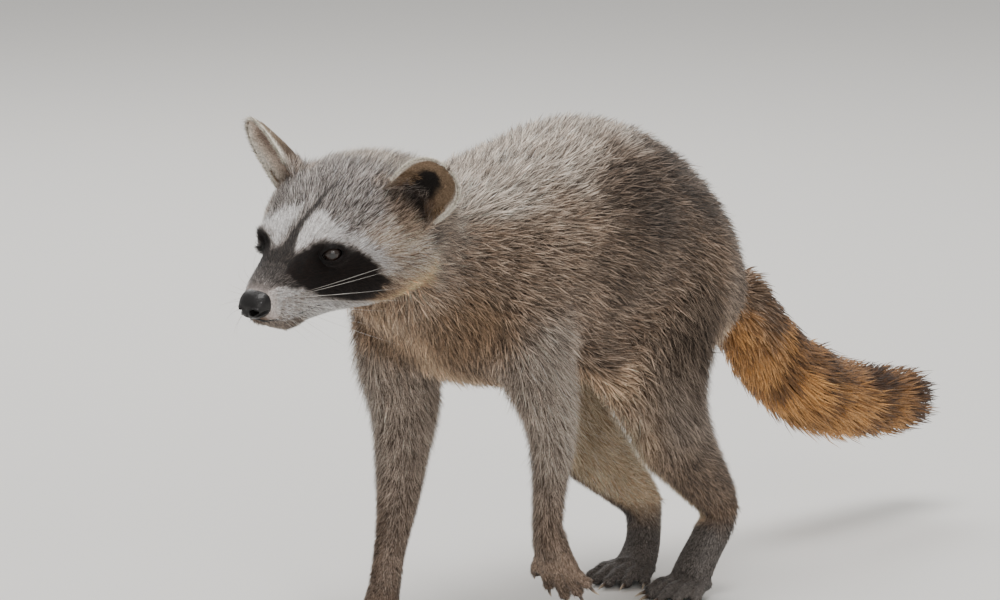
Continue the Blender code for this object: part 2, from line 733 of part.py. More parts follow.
def head_surface(forward, angle):
    """A place on the head form's skin: angle 0 is the side, 90 degrees the crown, as arrays."""
    rows = np.array([(f, 0, 0, top, low, wide, level) for f, top, low, wide, level in HEAD])
    fine = spline_rows(rows, 60)
    top, low, wide, level = (np.interp(forward, fine[:, 0], fine[:, k]) for k in (3, 4, 5, 6))
    cos, sin = np.cos(angle), np.sin(angle)
    share = 2 / HEAD_SQUARENESS
    reach = np.where(sin > 0, top - level, level - low)
    left = wide * np.sign(cos) * np.abs(cos) ** share
    up = level + reach * np.sign(sin) * np.abs(sin) ** share
    return np.stack([forward, left, up], -1), np.stack([0 * cos, cos, sin], -1)


def lock(name, path, side, outward, width, thickness):
    """A flat, tapered lock: diamond sections along path, each side wide and outward thick."""
    shape = np.array(LOCK_SHAPE)
    across = side * (shape[:, 1:2] * width / 2)
    through = outward * (shape[:, 2:3] * thickness / 2)
    return loft(name, np.stack([path - across, path - through, path + across, path + through], 1))


def ruff(skin):
    """Locks from the cheeks back over the neck, in two tiers a side, lying just over the skin."""
    draw = np.random.default_rng(SEED)
    share = np.array(LOCK_SHAPE)[:, 0]
    rise = RUFF_RISE * (1 - (1 - share) ** LOCK_CURVE) - RUFF_SUNK
    frame = np.array(head_matrix())
    locks = []
    for side in (1, -1):
        flip = np.array((1, side, 1))
        for ahead, first, last, count in RUFF_TIERS:
            for degrees in np.linspace(first, last, count):
                angle = math.radians(degrees + draw.uniform(-2, 2))
                forward = RUFF_FROM + ahead - RUFF_LENGTH * draw.uniform(*RUFF_LENGTHS) * share
                angles = angle - RUFF_DROOP * share
                near, outward = head_surface(forward, angles)
                turned = np.stack([0 * share, -np.sin(angles), np.cos(angles)], -1)
                near = near * flip @ frame[:3, :3].T + frame[:3, 3]
                outward = outward * flip @ frame[:3, :3].T
                turned = turned * flip @ frame[:3, :3].T
                path = np.array([skin.closest_point_on_mesh(Vector(p))[1] for p in near])
                path = path + outward * rise[:, None]
                width = RUFF_WIDTH * draw.uniform(*RUFF_WIDTHS)
                locks.append(lock("ruff", path, turned, outward, width, RUFF_THICKNESS))
    return locks


def head():
    """The head at full detail: ruff, lids, lips, the line of the mouth and the seat of the nose."""
    forms = [trunk_form(), head_form()]
    for place, radii in SWELLINGS:
        for side in (1, -1):
            at = mirror_left(place, side)
            forms.append(ellipsoid("swelling", at, radii, head_matrix(), *SWELLING_ROUND))
    whole = fused("head", forms, *HEAD_FUSE)
    locks = ruff(whole)
    place, normal = Vector(HEAD_PLANE[0]), Vector(HEAD_PLANE[1]).normalized()
    subtract(whole, slab(place - normal * GAP, normal, *HEAD_BLOCK))
    thinned(whole, HEAD_TRIANGLES)
    plain = whole.copy()
    plain.data = whole.data.copy()
    bpy.context.scene.collection.objects.link(plain)
    for side in (1, -1):
        whole = cut_eye(whole, side)
    mouth = [mirror_left(place, -1) for place in reversed(MOUTH[1:])] + list(MOUTH)
    subtract(whole, blade("mouth", mouth, MOUTH_DEPTH, MOUTH_HEIGHT))
    seat, floor = NOSE_SEAT
    bpy.ops.mesh.primitive_cube_add(size=1)
    notch = bpy.context.object
    size = NOSE_SEAT_LENGTH
    notch.data.transform(
        head_matrix()
        @ Matrix.Translation((seat + size / 2, 0, floor + size / 2))
        @ Matrix.Diagonal((size, NOSE_SEAT_WIDTH, size, 1))
    )
    subtract(whole, notch)
    return join_boolean("head", [keep_largest(whole)] + locks, "MANIFOLD"), plain


def nose():
    """The bare nose: a pad with two nostrils, each with a slit out to the side, and a groove."""
    rows = np.array([(f, 0, 0, top, low, wide, level) for f, top, low, wide, level in NOSE])
    rows = spline_rows(rows, NOSE_STEPS)
    centres = np.stack([rows[:, 0], rows[:, 1], rows[:, 6]], 1)
    across = np.tile((0, 1.0, 0), (len(rows), 1))
    upward = np.tile((0, 0, 1.0), (len(rows), 1))
    high, low = rows[:, 3] - rows[:, 6], rows[:, 6] - rows[:, 4]
    rings = ovals(centres, across, upward, rows[:, 5], high, low, NOSE_AROUND, NOSE_SQUARENESS)
    pad = loft("nose", rings)
    pad.data.transform(head_matrix())
    for side in (1, -1):
        for place, radii in (NOSTRIL, NOSTRIL_SLIT):
            at = mirror_left(place, side)
            subtract(pad, ellipsoid("hollow", at, radii, head_matrix(), *HOLLOW_ROUND))
    place, radii = NOSE_GROOVE
    subtract(pad, ellipsoid("groove", place, radii, head_matrix(), *GROOVE_ROUND))
    return keep_largest(pad)


def ear(name, side, plain):
    """One ear: a thin cupped shell with a rounded tip, seated in the head."""
    base, tip = np.array(mirror_left(EAR_BASE, side)), np.array(mirror_left(EAR_TIP, side))
    height = np.linalg.norm(tip - base)
    axis = (tip - base) / height
    facing = np.array(EAR_FACING[side])
    facing = unit(facing - axis * (facing @ axis))
    across = np.cross(axis, facing)
    rings = []
    for share in np.concatenate([[-EAR_ROOT / height], np.linspace(0.0, 1.0, EAR_RINGS)]):
        up = max(share, 0.0)
        rounding = math.sqrt(max(1 - up**EAR_ROUNDNESS, EAR_TIP_LEFT))
        half = EAR_HALF_WIDTH * (1 - EAR_WAIST * (1 - up) ** 2) * rounding
        bend = math.radians(EAR_CURL[0] + (EAR_CURL[1] - EAR_CURL[0]) * up)
        wall = EAR_WALL * (EAR_WALL_SHAPE[0] - EAR_WALL_SHAPE[1] * up)
        radius = half / math.sin(bend)
        turn = np.linspace(-1, 1, EAR_AROUND) * bend
        inner = np.stack([radius * np.sin(turn), -radius * (np.cos(turn) - math.cos(bend))], 1)
        rim, swell = EAR_RIM_SHAPE
        thick = wall * (rim + swell * np.cos(turn / bend * math.pi / 2))[:, None]
        outer = inner + np.stack([np.sin(turn), -np.cos(turn)], 1) * thick
        ring = np.vstack([inner, outer[::-1]])
        rings.append(base + axis * height * share + ring[:, :1] * across + ring[:, 1:] * facing)
    made = loft(name, rings)
    made.data.transform(head_matrix())
    seat = plain.copy()
    seat.data = plain.data.copy()
    bpy.context.scene.collection.objects.link(seat)
    swell = seat.modifiers.new("swell", "DISPLACE")
    swell.strength = GAP * 2
    swell.mid_level = 0.0
    apply_modifiers(seat)
    subtract(made, seat)
    return keep_largest(made)


def toe(name, start, along, down, length, drop):
    """One toe from start, arched, with a blunt end."""
    rows = []
    for share, thick in TOE_SHAPE:
        ahead = max(share, 0)
        sag = drop * ahead**TOE_SAG_POWER - TOE_ARCH * math.sin(math.pi * ahead)
        radius = TOE_RADIUS * thick
        rows.append((*(start + along * length * share + down * sag), radius, radius))
    return tube(name, rows, TOE_MESH[0], np.cross(along, down), TOE_MESH[1])


def claw(name, start, along, down, curl):
    """A small curved claw, thick at the root and pointed."""
    rows = []
    for share, thick in CLAW_SHAPE:
        bow = CLAW_LENGTH * curl * max(share, 0) ** 2
        radius = CLAW_RADIUS * thick
        place = start + along * CLAW_LENGTH * share + down * bow
        rows.append((*place, radius * CLAW_FLATNESS, radius))
    return tube(name, rows, CLAW_MESH[0], np.cross(along, down), CLAW_MESH[1])


def paw(name, rows, toes, along, down, drop, cut, floor, side):
    """A paw with five toes and claws, cut level with the floor where it stands on it."""
    pieces = [tube(name, rows, PAW_MESH[0], (1, 0, 0), PAW_MESH[1])]
    along, down = unit(along), unit(down)
    sideways = np.cross(along, down)
    root = np.array(rows[-1][:3]) - along * TOE_SUNK
    for offset, spread, length in toes:
        turn = math.radians(spread)
        way = along * math.cos(turn) + side * sideways * math.sin(turn)
        start = root + side * sideways * offset - along * abs(offset) * TOE_SET_BACK
        pieces.append(toe("toe", start, way, down, length, drop))
        end = start + way * (length - CLAW_SUNK) + down * (drop - TOE_RADIUS * CLAW_LIFT[floor])
        pieces.append(claw("claw", end, way, down, CLAW_CURL[floor]))
    whole = join_boolean(name, pieces)
    if floor:
        subtract(whole, slab((0, 0, 0), (0, 0, -1), *FLOOR_BLOCK))
    place, normal, radius = CUTS[cut]
    normal = Vector(normal).normalized()
    subtract(whole, slab(Vector(place) + normal * GAP / 2, -normal, *PAW_BLOCK))
    return keep_largest(whole)


def tail_part(name, first, last, draw):
    """One length of the tail: a core, with tiers of locks that lie over one another to the tip."""
    fine, way = tail_axis()
    reach = np.concatenate([[0], np.cumsum(np.linalg.norm(np.diff(fine[:, :3], axis=0), axis=1))])
    core = fine[first : min(last, TAIL_CORE_END) + 1].copy()
    core[0, :3] += way[first] * GAP / 2
    if last < TAIL_STEPS:
        core[-1, :3] -= way[last] * GAP / 2
    core = core[::TAIL_STRIDE]
    across = np.tile((1.0, 0, 0), (len(core), 1))
    turned = np.cross(way[first : first + TAIL_STRIDE * len(core) : TAIL_STRIDE], across)
    wide = core[:, 3]
    pieces = [loft(name, ovals(core[:, :3], across, turned, wide, wide, wide, TAIL_AROUND))]
    shape = np.array(LOCK_SHAPE)
    end = reach[last] - TAIL_TIER_LAST if last < TAIL_STEPS else reach[TAIL_CORE_END] - TAIL_TIER_LAST
    for tier, start in enumerate(np.linspace(reach[first] + TAIL_TIER_FIRST, end, TAIL_TIERS)):
        for place in range(TAIL_LOCKS_AROUND):
            turned_by = place + tier % 2 / 2 + draw.uniform(*TAIL_TURNS)
            angle = 2 * math.pi * turned_by / TAIL_LOCKS_AROUND
            length = min(TAIL_LOCK_LENGTH * draw.uniform(*TAIL_LENGTHS), reach[-1] - start)
            along = start + shape[:, 0] * length
            point, aim = (np.stack([np.interp(along, reach, row[:, k]) for k in range(3)], 1)
                          for row in (fine, way))
            aim = unit(aim)
            tips = np.interp(along[-1], reach, fine[:, 4]) * draw.uniform(*TAIL_REACHES)
            root = np.interp(start, reach, fine[:, 3]) * TAIL_LOCK_SUNK
            radius = root + (tips - root) * (1 - (1 - shape[:, :1]) ** LOCK_CURVE)
            level = np.cross(aim, (1.0, 0, 0))
            outward = math.cos(angle) * np.array((1.0, 0, 0)) + math.sin(angle) * level
            side = -math.sin(angle) * np.array((1.0, 0, 0)) + math.cos(angle) * level
            width = TAIL_LOCK_WIDTH * draw.uniform(*TAIL_WIDTHS) * tips / TAIL[TAIL_WIDEST][4]
            pieces.append(lock("lock", point + outward * radius, side, outward, width, TAIL_LOCK_THICKNESS))
    return join_boolean(name, pieces, "MANIFOLD")


def tail():
    """The tail in three lengths."""
    draw = np.random.default_rng(SEED)
    names = ("tail_base", "tail_middle", "tail_tip")
    return [tail_part(name, *TAIL_SPLITS[k : k + 2], draw) for k, name in enumerate(names)]


def paint(made):
    """Gives an object its own material."""
    colour, roughness = next(FINISHES[kind] for kind in FINISHES if made.name.startswith(kind))
    material = bpy.data.materials.new(made.name)
    material.use_nodes = True
    shader = material.node_tree.nodes["Principled BSDF"]
    shader.inputs["Base Color"].default_value = (*colour, 1)
    shader.inputs["Roughness"].default_value = roughness
    shader.inputs["Metallic"].default_value = 0.0
    made.data.materials.clear()
    made.data.materials.append(material)


def main():
    for old in list(bpy.data.objects):
        bpy.data.objects.remove(old)
    parts = body()
    parts["head"], plain = head()
    parts["nose"] = nose()
    for side, word in ((1, "left"), (-1, "right")):
        parts["ear_" + word] = ear("ear_" + word, side, plain)
        parts["eye_" + word] = ball("eye_" + word, gaze_matrix(side), EYE_RADIUS, *EYE_ROUND)
    bpy.data.objects.remove(plain)
    for name, values in PAWS.items():
        parts[name] = paw(name, *values)
    for piece in tail():
        parts[piece.name] = piece
    group = bpy.data.collections.new("raccoon")
    bpy.context.scene.collection.children.link(group)
    corners = np.vstack([[made.matrix_world @ v.co for v in made.data.vertices] for made in parts.values()])
    low, high = corners.min(0), corners.max(0)
    shift = Matrix.Translation((-(low[0] + high[0]) / 2, -(low[1] + high[1]) / 2, 0))
    for name, made in parts.items():
        made.name = name
        made.data.name = name
        made.data.transform(shift)
        for held in list(made.users_collection):
            held.objects.unlink(made)
        group.objects.link(made)
        paint(made)


main()
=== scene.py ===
"""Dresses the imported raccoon: one skin, eyes, lids, nose leather, claws, whiskers and a coat of tufts.

Metres, +Z up, the animal faces -Y. Shapes are worked out in the animal's own axes, then moved
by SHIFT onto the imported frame.
"""

import math
from itertools import product

import bpy
import numpy as np
from mathutils import Matrix, Vector
from mathutils.bvhtree import BVHTree


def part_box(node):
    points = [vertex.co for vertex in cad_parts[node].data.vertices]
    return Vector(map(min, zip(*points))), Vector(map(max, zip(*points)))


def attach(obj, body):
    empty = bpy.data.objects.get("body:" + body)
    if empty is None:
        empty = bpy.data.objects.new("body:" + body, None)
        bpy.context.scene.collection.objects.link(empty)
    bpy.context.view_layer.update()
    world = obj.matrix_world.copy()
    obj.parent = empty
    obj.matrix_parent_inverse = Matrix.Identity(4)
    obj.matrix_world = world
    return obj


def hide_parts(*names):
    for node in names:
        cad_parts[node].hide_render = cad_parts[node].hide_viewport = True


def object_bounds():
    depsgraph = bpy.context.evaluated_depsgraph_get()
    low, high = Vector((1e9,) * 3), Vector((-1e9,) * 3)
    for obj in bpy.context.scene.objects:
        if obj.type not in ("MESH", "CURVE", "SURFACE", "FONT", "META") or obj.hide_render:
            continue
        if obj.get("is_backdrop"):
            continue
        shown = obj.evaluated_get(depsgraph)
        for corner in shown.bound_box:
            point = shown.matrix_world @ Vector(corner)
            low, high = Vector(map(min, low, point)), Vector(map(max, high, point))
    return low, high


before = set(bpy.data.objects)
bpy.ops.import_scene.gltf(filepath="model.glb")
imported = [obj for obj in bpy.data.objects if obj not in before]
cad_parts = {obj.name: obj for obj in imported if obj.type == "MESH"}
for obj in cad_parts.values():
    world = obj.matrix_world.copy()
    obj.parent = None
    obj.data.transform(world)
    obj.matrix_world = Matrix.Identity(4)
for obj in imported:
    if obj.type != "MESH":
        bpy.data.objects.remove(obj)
cad_low, cad_high = (np.array(corner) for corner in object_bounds())
draw = np.random.default_rng(20)

# Trunk sections, tail root to neck: place along Y, top, underside, half width.
TRUNK = (
    (0.226, 0.200, 0.168, 0.016),
    (0.214, 0.213, 0.158, 0.026),
    (0.197, 0.232, 0.149, 0.037),
    (0.174, 0.256, 0.142, 0.049),
    (0.145, 0.279, 0.140, 0.059),
    (0.105, 0.301, 0.142, 0.066),
    (0.058, 0.3115, 0.146, 0.0695),
    (0.010, 0.3040, 0.149, 0.0690),
    (-0.030, 0.2985, 0.153, 0.066),
    (-0.064, 0.2920, 0.160, 0.060),
    (-0.092, 0.2860, 0.174, 0.054),
    (-0.118, 0.2860, 0.194, 0.049),
    (-0.150, 0.290, 0.214, 0.047),
)

# Head frame: the point between the eyes, and how the head is turned.
HEAD_AT = np.array((-0.001, -0.218, 0.263))
HEAD_YAW, HEAD_PITCH, HEAD_ROLL = (math.radians(a) for a in (3, 18, 3.5))

# Head sections in the head frame: forward, top, underside, half width, widest level.
HEAD = (
    (-0.100, 0.022, -0.056, 0.045, -0.014),
    (-0.082, 0.029, -0.056, 0.051, -0.014),
    (-0.064, 0.033, -0.055, 0.056, -0.014),
    (-0.046, 0.033, -0.053, 0.058, -0.014),
    (-0.029, 0.029, -0.050, 0.054, -0.014),
    (-0.014, 0.023, -0.046, 0.044, -0.013),
    (0.000, 0.0165, -0.043, 0.031, -0.012),
    (0.012, 0.0095, -0.0415, 0.0225, -0.013),
    (0.024, 0.0035, -0.0395, 0.0182, -0.014),
    (0.036, -0.0018, -0.0350, 0.0152, -0.014),
    (0.044, -0.0045, -0.0300, 0.0120, -0.016),
    (0.049, -0.0080, -0.0275, 0.0084, -0.017),
)
NOSE = (
    (0.0400, -0.0062, -0.0222, 0.0100, -0.0142),
    (0.0450, -0.0064, -0.0224, 0.0103, -0.0146),
    (0.0490, -0.0074, -0.0222, 0.0095, -0.0150),
    (0.0525, -0.0096, -0.0213, 0.0078, -0.0154),
    (0.0547, -0.0116, -0.0197, 0.0049, -0.0158),
)
COAT_REACH = np.array((0.0045, 0.0130, 0.0095))  # how far hair may pass the box of the solids
EYE_RADIUS = 0.0075
EYE_AT = (-0.0010, 0.0232, 0.0012)
EYE_OUTWARD, EYE_UPWARD = math.radians(46), math.radians(8)
EYE_GAP = 0.0003  # between an eyeball and its socket
LID_THICKNESS = 0.0016
LID_OPENING = (0.0066, 0.0046)
LID_EDGE = 0.00062  # radius of the moist edge
CORNEA_RISE = 0.0007
# Mouth line from under the nose back to the corner: forward, left, up.
MOUTH = (
    (0.0490, 0.0000, -0.0236),
    (0.0450, 0.0085, -0.0256),
    (0.0375, 0.0150, -0.0278),
    (0.0290, 0.0175, -0.0293),
    (0.0200, 0.0205, -0.0310),
    (0.0110, 0.0240, -0.0310),
    (0.0050, 0.0270, -0.0290),
)
# Ears in the head frame, the left one under 1 and the right one under -1.
EAR_BASE = (-0.0486, 0.0500, 0.0160)
EAR_TIP = {1: (-0.0570, 0.0745, 0.0375), -1: (-0.0570, -0.0775, 0.0445)}
EAR_FACING = {1: (0.94, 0.32, 0.03), -1: (0.84, -0.54, 0.03)}
EAR_ROOT = 0.014  # how far an ear goes into the head
EAR_HALF_WIDTH = 0.0192
EAR_WALL = 0.0024
EAR_ROUNDNESS = 3.4  # power of the curve that closes the tip
EAR_CURL = (72, 30)  # half angle of the cup's arc at its base and tip, in degrees
EAR_ARC = 24  # points on a ring's inner arc, and as many on its outer arc
EAR_LEVELS = 1 - (1 - np.linspace(0, 1, 44)) ** 1.5  # heights of the rings, closer at the tip
EAR_REACH = 0.045  # points further than this from an ear's middle aren't on it
# The dark middle of each ear's cup is painted shade in its hollow.
EAR_SHADE_SHIFT = 0.12  # how far the cup's dark middle sits from its line, as a share of half its width
FLESH_VOXEL, PAW_VOXEL = 0.0021, 0.0011
EASING_ROUNDS = 70  # rounds that ease the flesh where its forms meet
SKIN_KEPT = 0.76  # share of the skin's triangles kept, most of them where it curves
TRUNK_POWER, HEAD_POWER, NOSE_POWER = 2.15, 2.35, 2.6  # squareness of the sections, 2 an ellipse
# Brow, whisker pad and chin: place in the head frame, and half sizes along it.
SWELLINGS = (
    ((-0.004, 0.0175, 0.0085), (0.014, 0.0110, 0.0075)),
    ((0.030, 0.0095, -0.0215), (0.015, 0.0086, 0.0085)),
    ((0.024, 0.0040, -0.0350), (0.012, 0.0090, 0.0050)),
)

# Limbs, top to bottom: x, y, z, half width across, half depth fore and aft.
LEFT_FORELEG = (
    (0.040, -0.054, 0.230, 0.026, 0.040),
    (0.047, -0.056, 0.205, 0.024, 0.038),
    (0.053, -0.052, 0.175, 0.0215, 0.033),
    (0.055, -0.044, 0.148, 0.0180, 0.0255),
    (0.053, -0.0380, 0.118, 0.0150, 0.0160),
    (0.050, -0.0360, 0.092, 0.0115, 0.0115),
    (0.0477, -0.0345, 0.071, 0.0104, 0.0102),
    (0.047, -0.0305, 0.056, 0.0110, 0.0102),
)
RIGHT_FORELEG = (
    (-0.040, -0.060, 0.230, 0.026, 0.040),
    (-0.048, -0.060, 0.205, 0.026, 0.038),
    (-0.053, -0.052, 0.172, 0.0255, 0.036),
    (-0.052, -0.047, 0.142, 0.0230, 0.0305),
    (-0.049, -0.054, 0.110, 0.0170, 0.0220),
    (-0.044, -0.066, 0.078, 0.0128, 0.0145),
    (-0.041, -0.078, 0.050, 0.0104, 0.0108),
    (-0.0390, -0.0862, 0.030, 0.0100, 0.0100),
)
LEFT_HINDLEG = (
    (0.034, 0.138, 0.225, 0.032, 0.045),
    (0.046, 0.106, 0.190, 0.029, 0.044),
    (0.056, 0.080, 0.158, 0.0255, 0.0425),
    (0.060, 0.0765, 0.130, 0.0220, 0.0405),
    (0.058, 0.0965, 0.104, 0.0190, 0.0290),
    (0.055, 0.1220, 0.080, 0.0155, 0.0210),
    (0.052, 0.1430, 0.062, 0.0130, 0.0165),
    (0.051, 0.148, 0.048, 0.0125, 0.0140),
)
RIGHT_HINDLEG = (
    (-0.034, 0.138, 0.225, 0.032, 0.045),
    (-0.044, 0.122, 0.190, 0.029, 0.044),
    (-0.047, 0.112, 0.158, 0.0255, 0.041),
    (-0.045, 0.108, 0.128, 0.0220, 0.038),
    (-0.037, 0.121, 0.098, 0.0190, 0.0310),
    (-0.028, 0.145, 0.070, 0.0155, 0.0215),
    (-0.022, 0.163, 0.051, 0.0130, 0.0160),
    (-0.0205, 0.1675, 0.040, 0.0125, 0.0140),
)
LEFT_FOREPAW = (
    (0.0477, -0.0340, 0.0700, 0.0104, 0.0102),
    (0.0470, -0.0300, 0.0600, 0.0121, 0.0098),
    (0.0464, -0.0250, 0.0500, 0.0142, 0.0088),
    (0.0458, -0.0210, 0.0420, 0.0135, 0.0074),
)
RIGHT_FOREPAW = (
    (-0.0402, -0.0800, 0.0450, 0.0104, 0.0108),
    (-0.0388, -0.0860, 0.0300, 0.0106, 0.0104),
    (-0.0376, -0.0930, 0.0175, 0.0126, 0.0110),
    (-0.0367, -0.1020, 0.0095, 0.0146, 0.0100),
    (-0.0362, -0.1100, 0.0085, 0.0140, 0.0080),
)
LEFT_HINDPAW = (
    (0.0515, 0.1475, 0.0580, 0.0130, 0.0145),
    (0.0510, 0.1460, 0.0470, 0.0123, 0.0132),
    (0.0490, 0.1380, 0.0340, 0.0123, 0.0118),
    (0.0465, 0.1295, 0.0210, 0.0136, 0.0108),
    (0.0445, 0.1230, 0.0092, 0.0150, 0.0092),
    (0.0440, 0.1170, 0.0085, 0.0140, 0.0080),
)
RIGHT_HINDPAW = (
    (-0.0215, 0.1665, 0.0500, 0.0130, 0.0145),
    (-0.0205, 0.1665, 0.0400, 0.0123, 0.0132),
    (-0.0180, 0.1635, 0.0270, 0.0118, 0.0108),
    (-0.0155, 0.1560, 0.0165, 0.0132, 0.0098),
    (-0.0135, 0.1455, 0.0088, 0.0150, 0.0092),
    (-0.0130, 0.1375, 0.0085, 0.0140, 0.0080),
)
# Toes: sideways start, spread angle in degrees, length; inner toe first.
FORE_TOES = (
    (-0.0105, -30, 0.0190),
    (-0.0060, -13, 0.0250),
    (0.0000, 0, 0.0275),
    (0.0060, 12, 0.0255),
    (0.0105, 28, 0.0205),
)
HIND_TOES = (
    (-0.0115, -24, 0.0210),
    (-0.0065, -10, 0.0275),
    (0.0000, 0, 0.0300),
    (0.0065, 9, 0.0290),
    (0.0115, 22, 0.0240),
)
TOE_RADIUS = 0.0047
TOE_SHAPE = ((-0.25, 1.0), (0.1, 1.02), (0.32, 0.9), (0.5, 0.98), (0.72, 0.86), (0.88, 0.98), (1.0, 0.5))
TOE_ARCH = 0.0016
CLAW_LENGTH = 0.0092
CLAW_RADIUS = 0.0014
CLAW_SHAPE = ((-0.45, 1.0), (0.1, 0.98), (0.4, 0.82), (0.7, 0.52), (1.0, 0.10))
# The fold of skin from belly to thigh, on the left, in the columns of the limbs, and how much
# further back each side's fold lies.
FLANK_FOLD = (
    (0.049, -0.004, 0.171, 0.010, 0.014),
    (0.051, 0.016, 0.163, 0.012, 0.017),
    (0.053, 0.033, 0.151, 0.014, 0.019),
    (0.055, 0.049, 0.137, 0.016, 0.020),
    (0.056, 0.064, 0.122, 0.015, 0.019),
)
FOLD_BACK = {1: 0.0, -1: 0.036}
# Paws: rows, toes, way the toes run, way down, drop of the tips, on the floor, side.
PAWS = (
    (LEFT_FOREPAW, FORE_TOES, (-0.06, 0.36, -0.92), (0, 0.92, 0.36), 0.0040, False, 1),
    (RIGHT_FOREPAW, FORE_TOES, (0.02, -1, 0), (0, 0, -1), 0.0066, True, -1),
    (LEFT_HINDPAW, HIND_TOES, (-0.05, -1, 0), (0, 0, -1), 0.0066, True, 1),
    (RIGHT_HINDPAW, HIND_TOES, (0.05, -1, 0), (0, 0, -1), 0.0066, True, -1),
)
# Tail: axis points, radius of the core, radius at the tips of the coat.
TAIL = (
    (0.0, 0.218, 0.189, 0.0145, 0.0200),
    (0.0, 0.249, 0.158, 0.0135, 0.0255),
    (0.0, 0.283, 0.126, 0.0125, 0.0285),
    (0.0, 0.327, 0.101, 0.0115, 0.0280),
    (0.0, 0.376, 0.086, 0.0100, 0.0270),
    (0.0, 0.422, 0.079, 0.0070, 0.0245),
    (0.0, 0.440, 0.078, 0.0020, 0.0205),
)

# Regions of the coat, in the order of the weights that fields() gives.
TRUNK_R, HEAD_R, FORELEG_R, HINDLEG_R, PAW_R, TAIL_R = REGIONS = range(6)
LIMBS = (
    (LEFT_FORELEG, FORELEG_R),
    (RIGHT_FORELEG, FORELEG_R),
    (LEFT_HINDLEG, HINDLEG_R),
    (RIGHT_HINDLEG, HINDLEG_R),
)
BONE_CORE, BONE_FALL = 0.3, 9  # share of a bone's radius within which its pull is level, and its power
CHUNK = 16384  # points worked on at once
ABOVE_FLOOR, SKIN_ABOVE_FLOOR = 0.0003, 0.0004
SIDE_NAMES = {1: "left", -1: "right"}


def unit(vectors):
    """Vectors scaled to length 1, along the last axis."""
    vectors = np.asarray(vectors, float)
    return vectors / np.maximum(np.linalg.norm(vectors, axis=-1, keepdims=True), 1e-12)


def circle(count):
    """Angles evenly round one turn."""
    return np.linspace(0, 2 * math.pi, count, endpoint=False)


def spline(rows, count):
    """Rows resampled along a Catmull-Rom curve through them, evenly by chord length."""
    points = np.array(rows, float)
    ends = np.vstack([2 * points[0] - points[1], points, 2 * points[-1] - points[-2]])
    knots = np.concatenate([[0], np.cumsum(np.linalg.norm(np.diff(points[:, :3], axis=0), axis=1))])
    wanted = np.linspace(0, knots[-1], count)
    index = np.clip(np.searchsorted(knots, wanted, side="right") - 1, 0, len(points) - 2)
    t = ((wanted - knots[index]) / (knots[index + 1] - knots[index]))[:, None]
    a, b, c, d = (ends[index + k] for k in range(4))
    return 0.5 * (
        2 * b + (c - a) * t + (2 * a - 5 * b + 4 * c - d) * t**2 + (3 * b - a - 3 * c + d) * t**3
    )


def flattened(ways, up):
    """Directions less what of them points along up."""
    return ways - up * (ways * up).sum(1, keepdims=True)


def smooth(low, high, value):
    """0 below low, 1 above high, with an eased step between."""
    t = np.clip((value - low) / (high - low), 0, 1)
    return t * t * (3 - 2 * t)


def linear(red, green, blue):
    """A colour given as 0 to 255 on a screen, in the renderer's linear numbers."""
    c = np.array((red, green, blue)) / 255
    return np.where(c <= 0.04045, c / 12.92, ((c + 0.055) / 1.055) ** 2.4)


def mixed(first, second, share):
    """Colours or numbers blended by a share from 0 to 1."""
    share = np.asarray(share, float)[..., None]
    return first * (1 - share) + second * share


def wobble(points, size, seed, waves=9):
    """Smooth noise about 0: a sum of sine waves of wavelength near size, in seeded directions."""
    dice = np.random.default_rng(seed)
    ways = unit(dice.normal(size=(waves, 3))) * dice.uniform(0.6, 1.7, (waves, 1)) * (2 * math.pi / size)
    return np.sin(points @ ways.T + dice.uniform(0, 2 * math.pi, waves)).sum(1) / math.sqrt(waves / 2)


def head_axes():
    """The head's forward, left and up, one a row, in the body's axes."""
    forward = np.array((-math.sin(HEAD_YAW), -math.cos(HEAD_YAW), 0)) * math.cos(HEAD_PITCH)
    forward[2] = -math.sin(HEAD_PITCH)
    left = unit(np.cross((0, 0, 1), forward))
    up = np.cross(forward, left)
    rolled = left * math.cos(HEAD_ROLL) - up * math.sin(HEAD_ROLL)
    return np.stack([forward, rolled, np.cross(forward, rolled)])


AXES = head_axes()


def from_head(points):
    """Places in the head frame, in the body's axes."""
    return np.asarray(points, float) @ AXES + HEAD_AT


def to_head(points):
    """Places in the body's axes, in the head frame."""
    return (points - HEAD_AT) @ AXES.T


def eye_distance(local):
    """How far places in the head frame are from the nearer eye's centre."""
    eyes = [np.array(EYE_AT) * (1, side, 1) for side in (1, -1)]
    return np.minimum(*[np.linalg.norm(local - eye, axis=1) for eye in eyes])


def gaze(side):
    """An eye's centre, and its across, upward and looking directions as rows."""
    look = np.array((
        math.cos(EYE_OUTWARD) * math.cos(EYE_UPWARD),
        side * math.sin(EYE_OUTWARD) * math.cos(EYE_UPWARD),
        math.sin(EYE_UPWARD),
    ))
    across = unit(np.cross((0, 0, 1), look))
    turn = np.stack([across, np.cross(look, across), look]) @ AXES
    return from_head(np.array(EYE_AT) * (1, side, 1)), turn


eye_low, eye_high = (np.array(corner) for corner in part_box("eye_left"))
SHIFT = (eye_low + eye_high) / 2 - gaze(1)[0]


# Meshes from arrays


def make(name, points, faces):
    """A smooth mesh object from points and arrays of faces, each array having one side count."""
    mesh = bpy.data.meshes.new(name)
    faces = [np.asarray(f, np.int32) for f in faces if len(f)]
    mesh.vertices.add(len(points))
    mesh.vertices.foreach_set("co", np.asarray(points, np.float32).ravel())
    loops = np.concatenate([f.ravel() for f in faces])
    totals = np.concatenate([np.full(len(f), f.shape[1], np.int32) for f in faces])
    mesh.loops.add(len(loops))
    mesh.loops.foreach_set("vertex_index", loops)
    mesh.polygons.add(len(totals))
    starts = np.concatenate([[0], np.cumsum(totals)[:-1]])
    mesh.polygons.foreach_set("loop_start", starts.astype(np.int32))
    mesh.polygons.foreach_set("use_smooth", np.ones(len(totals), bool))
    mesh.update(calc_edges=True)
    made = bpy.data.objects.new(name, mesh)
    bpy.context.scene.collection.objects.link(made)
    return made


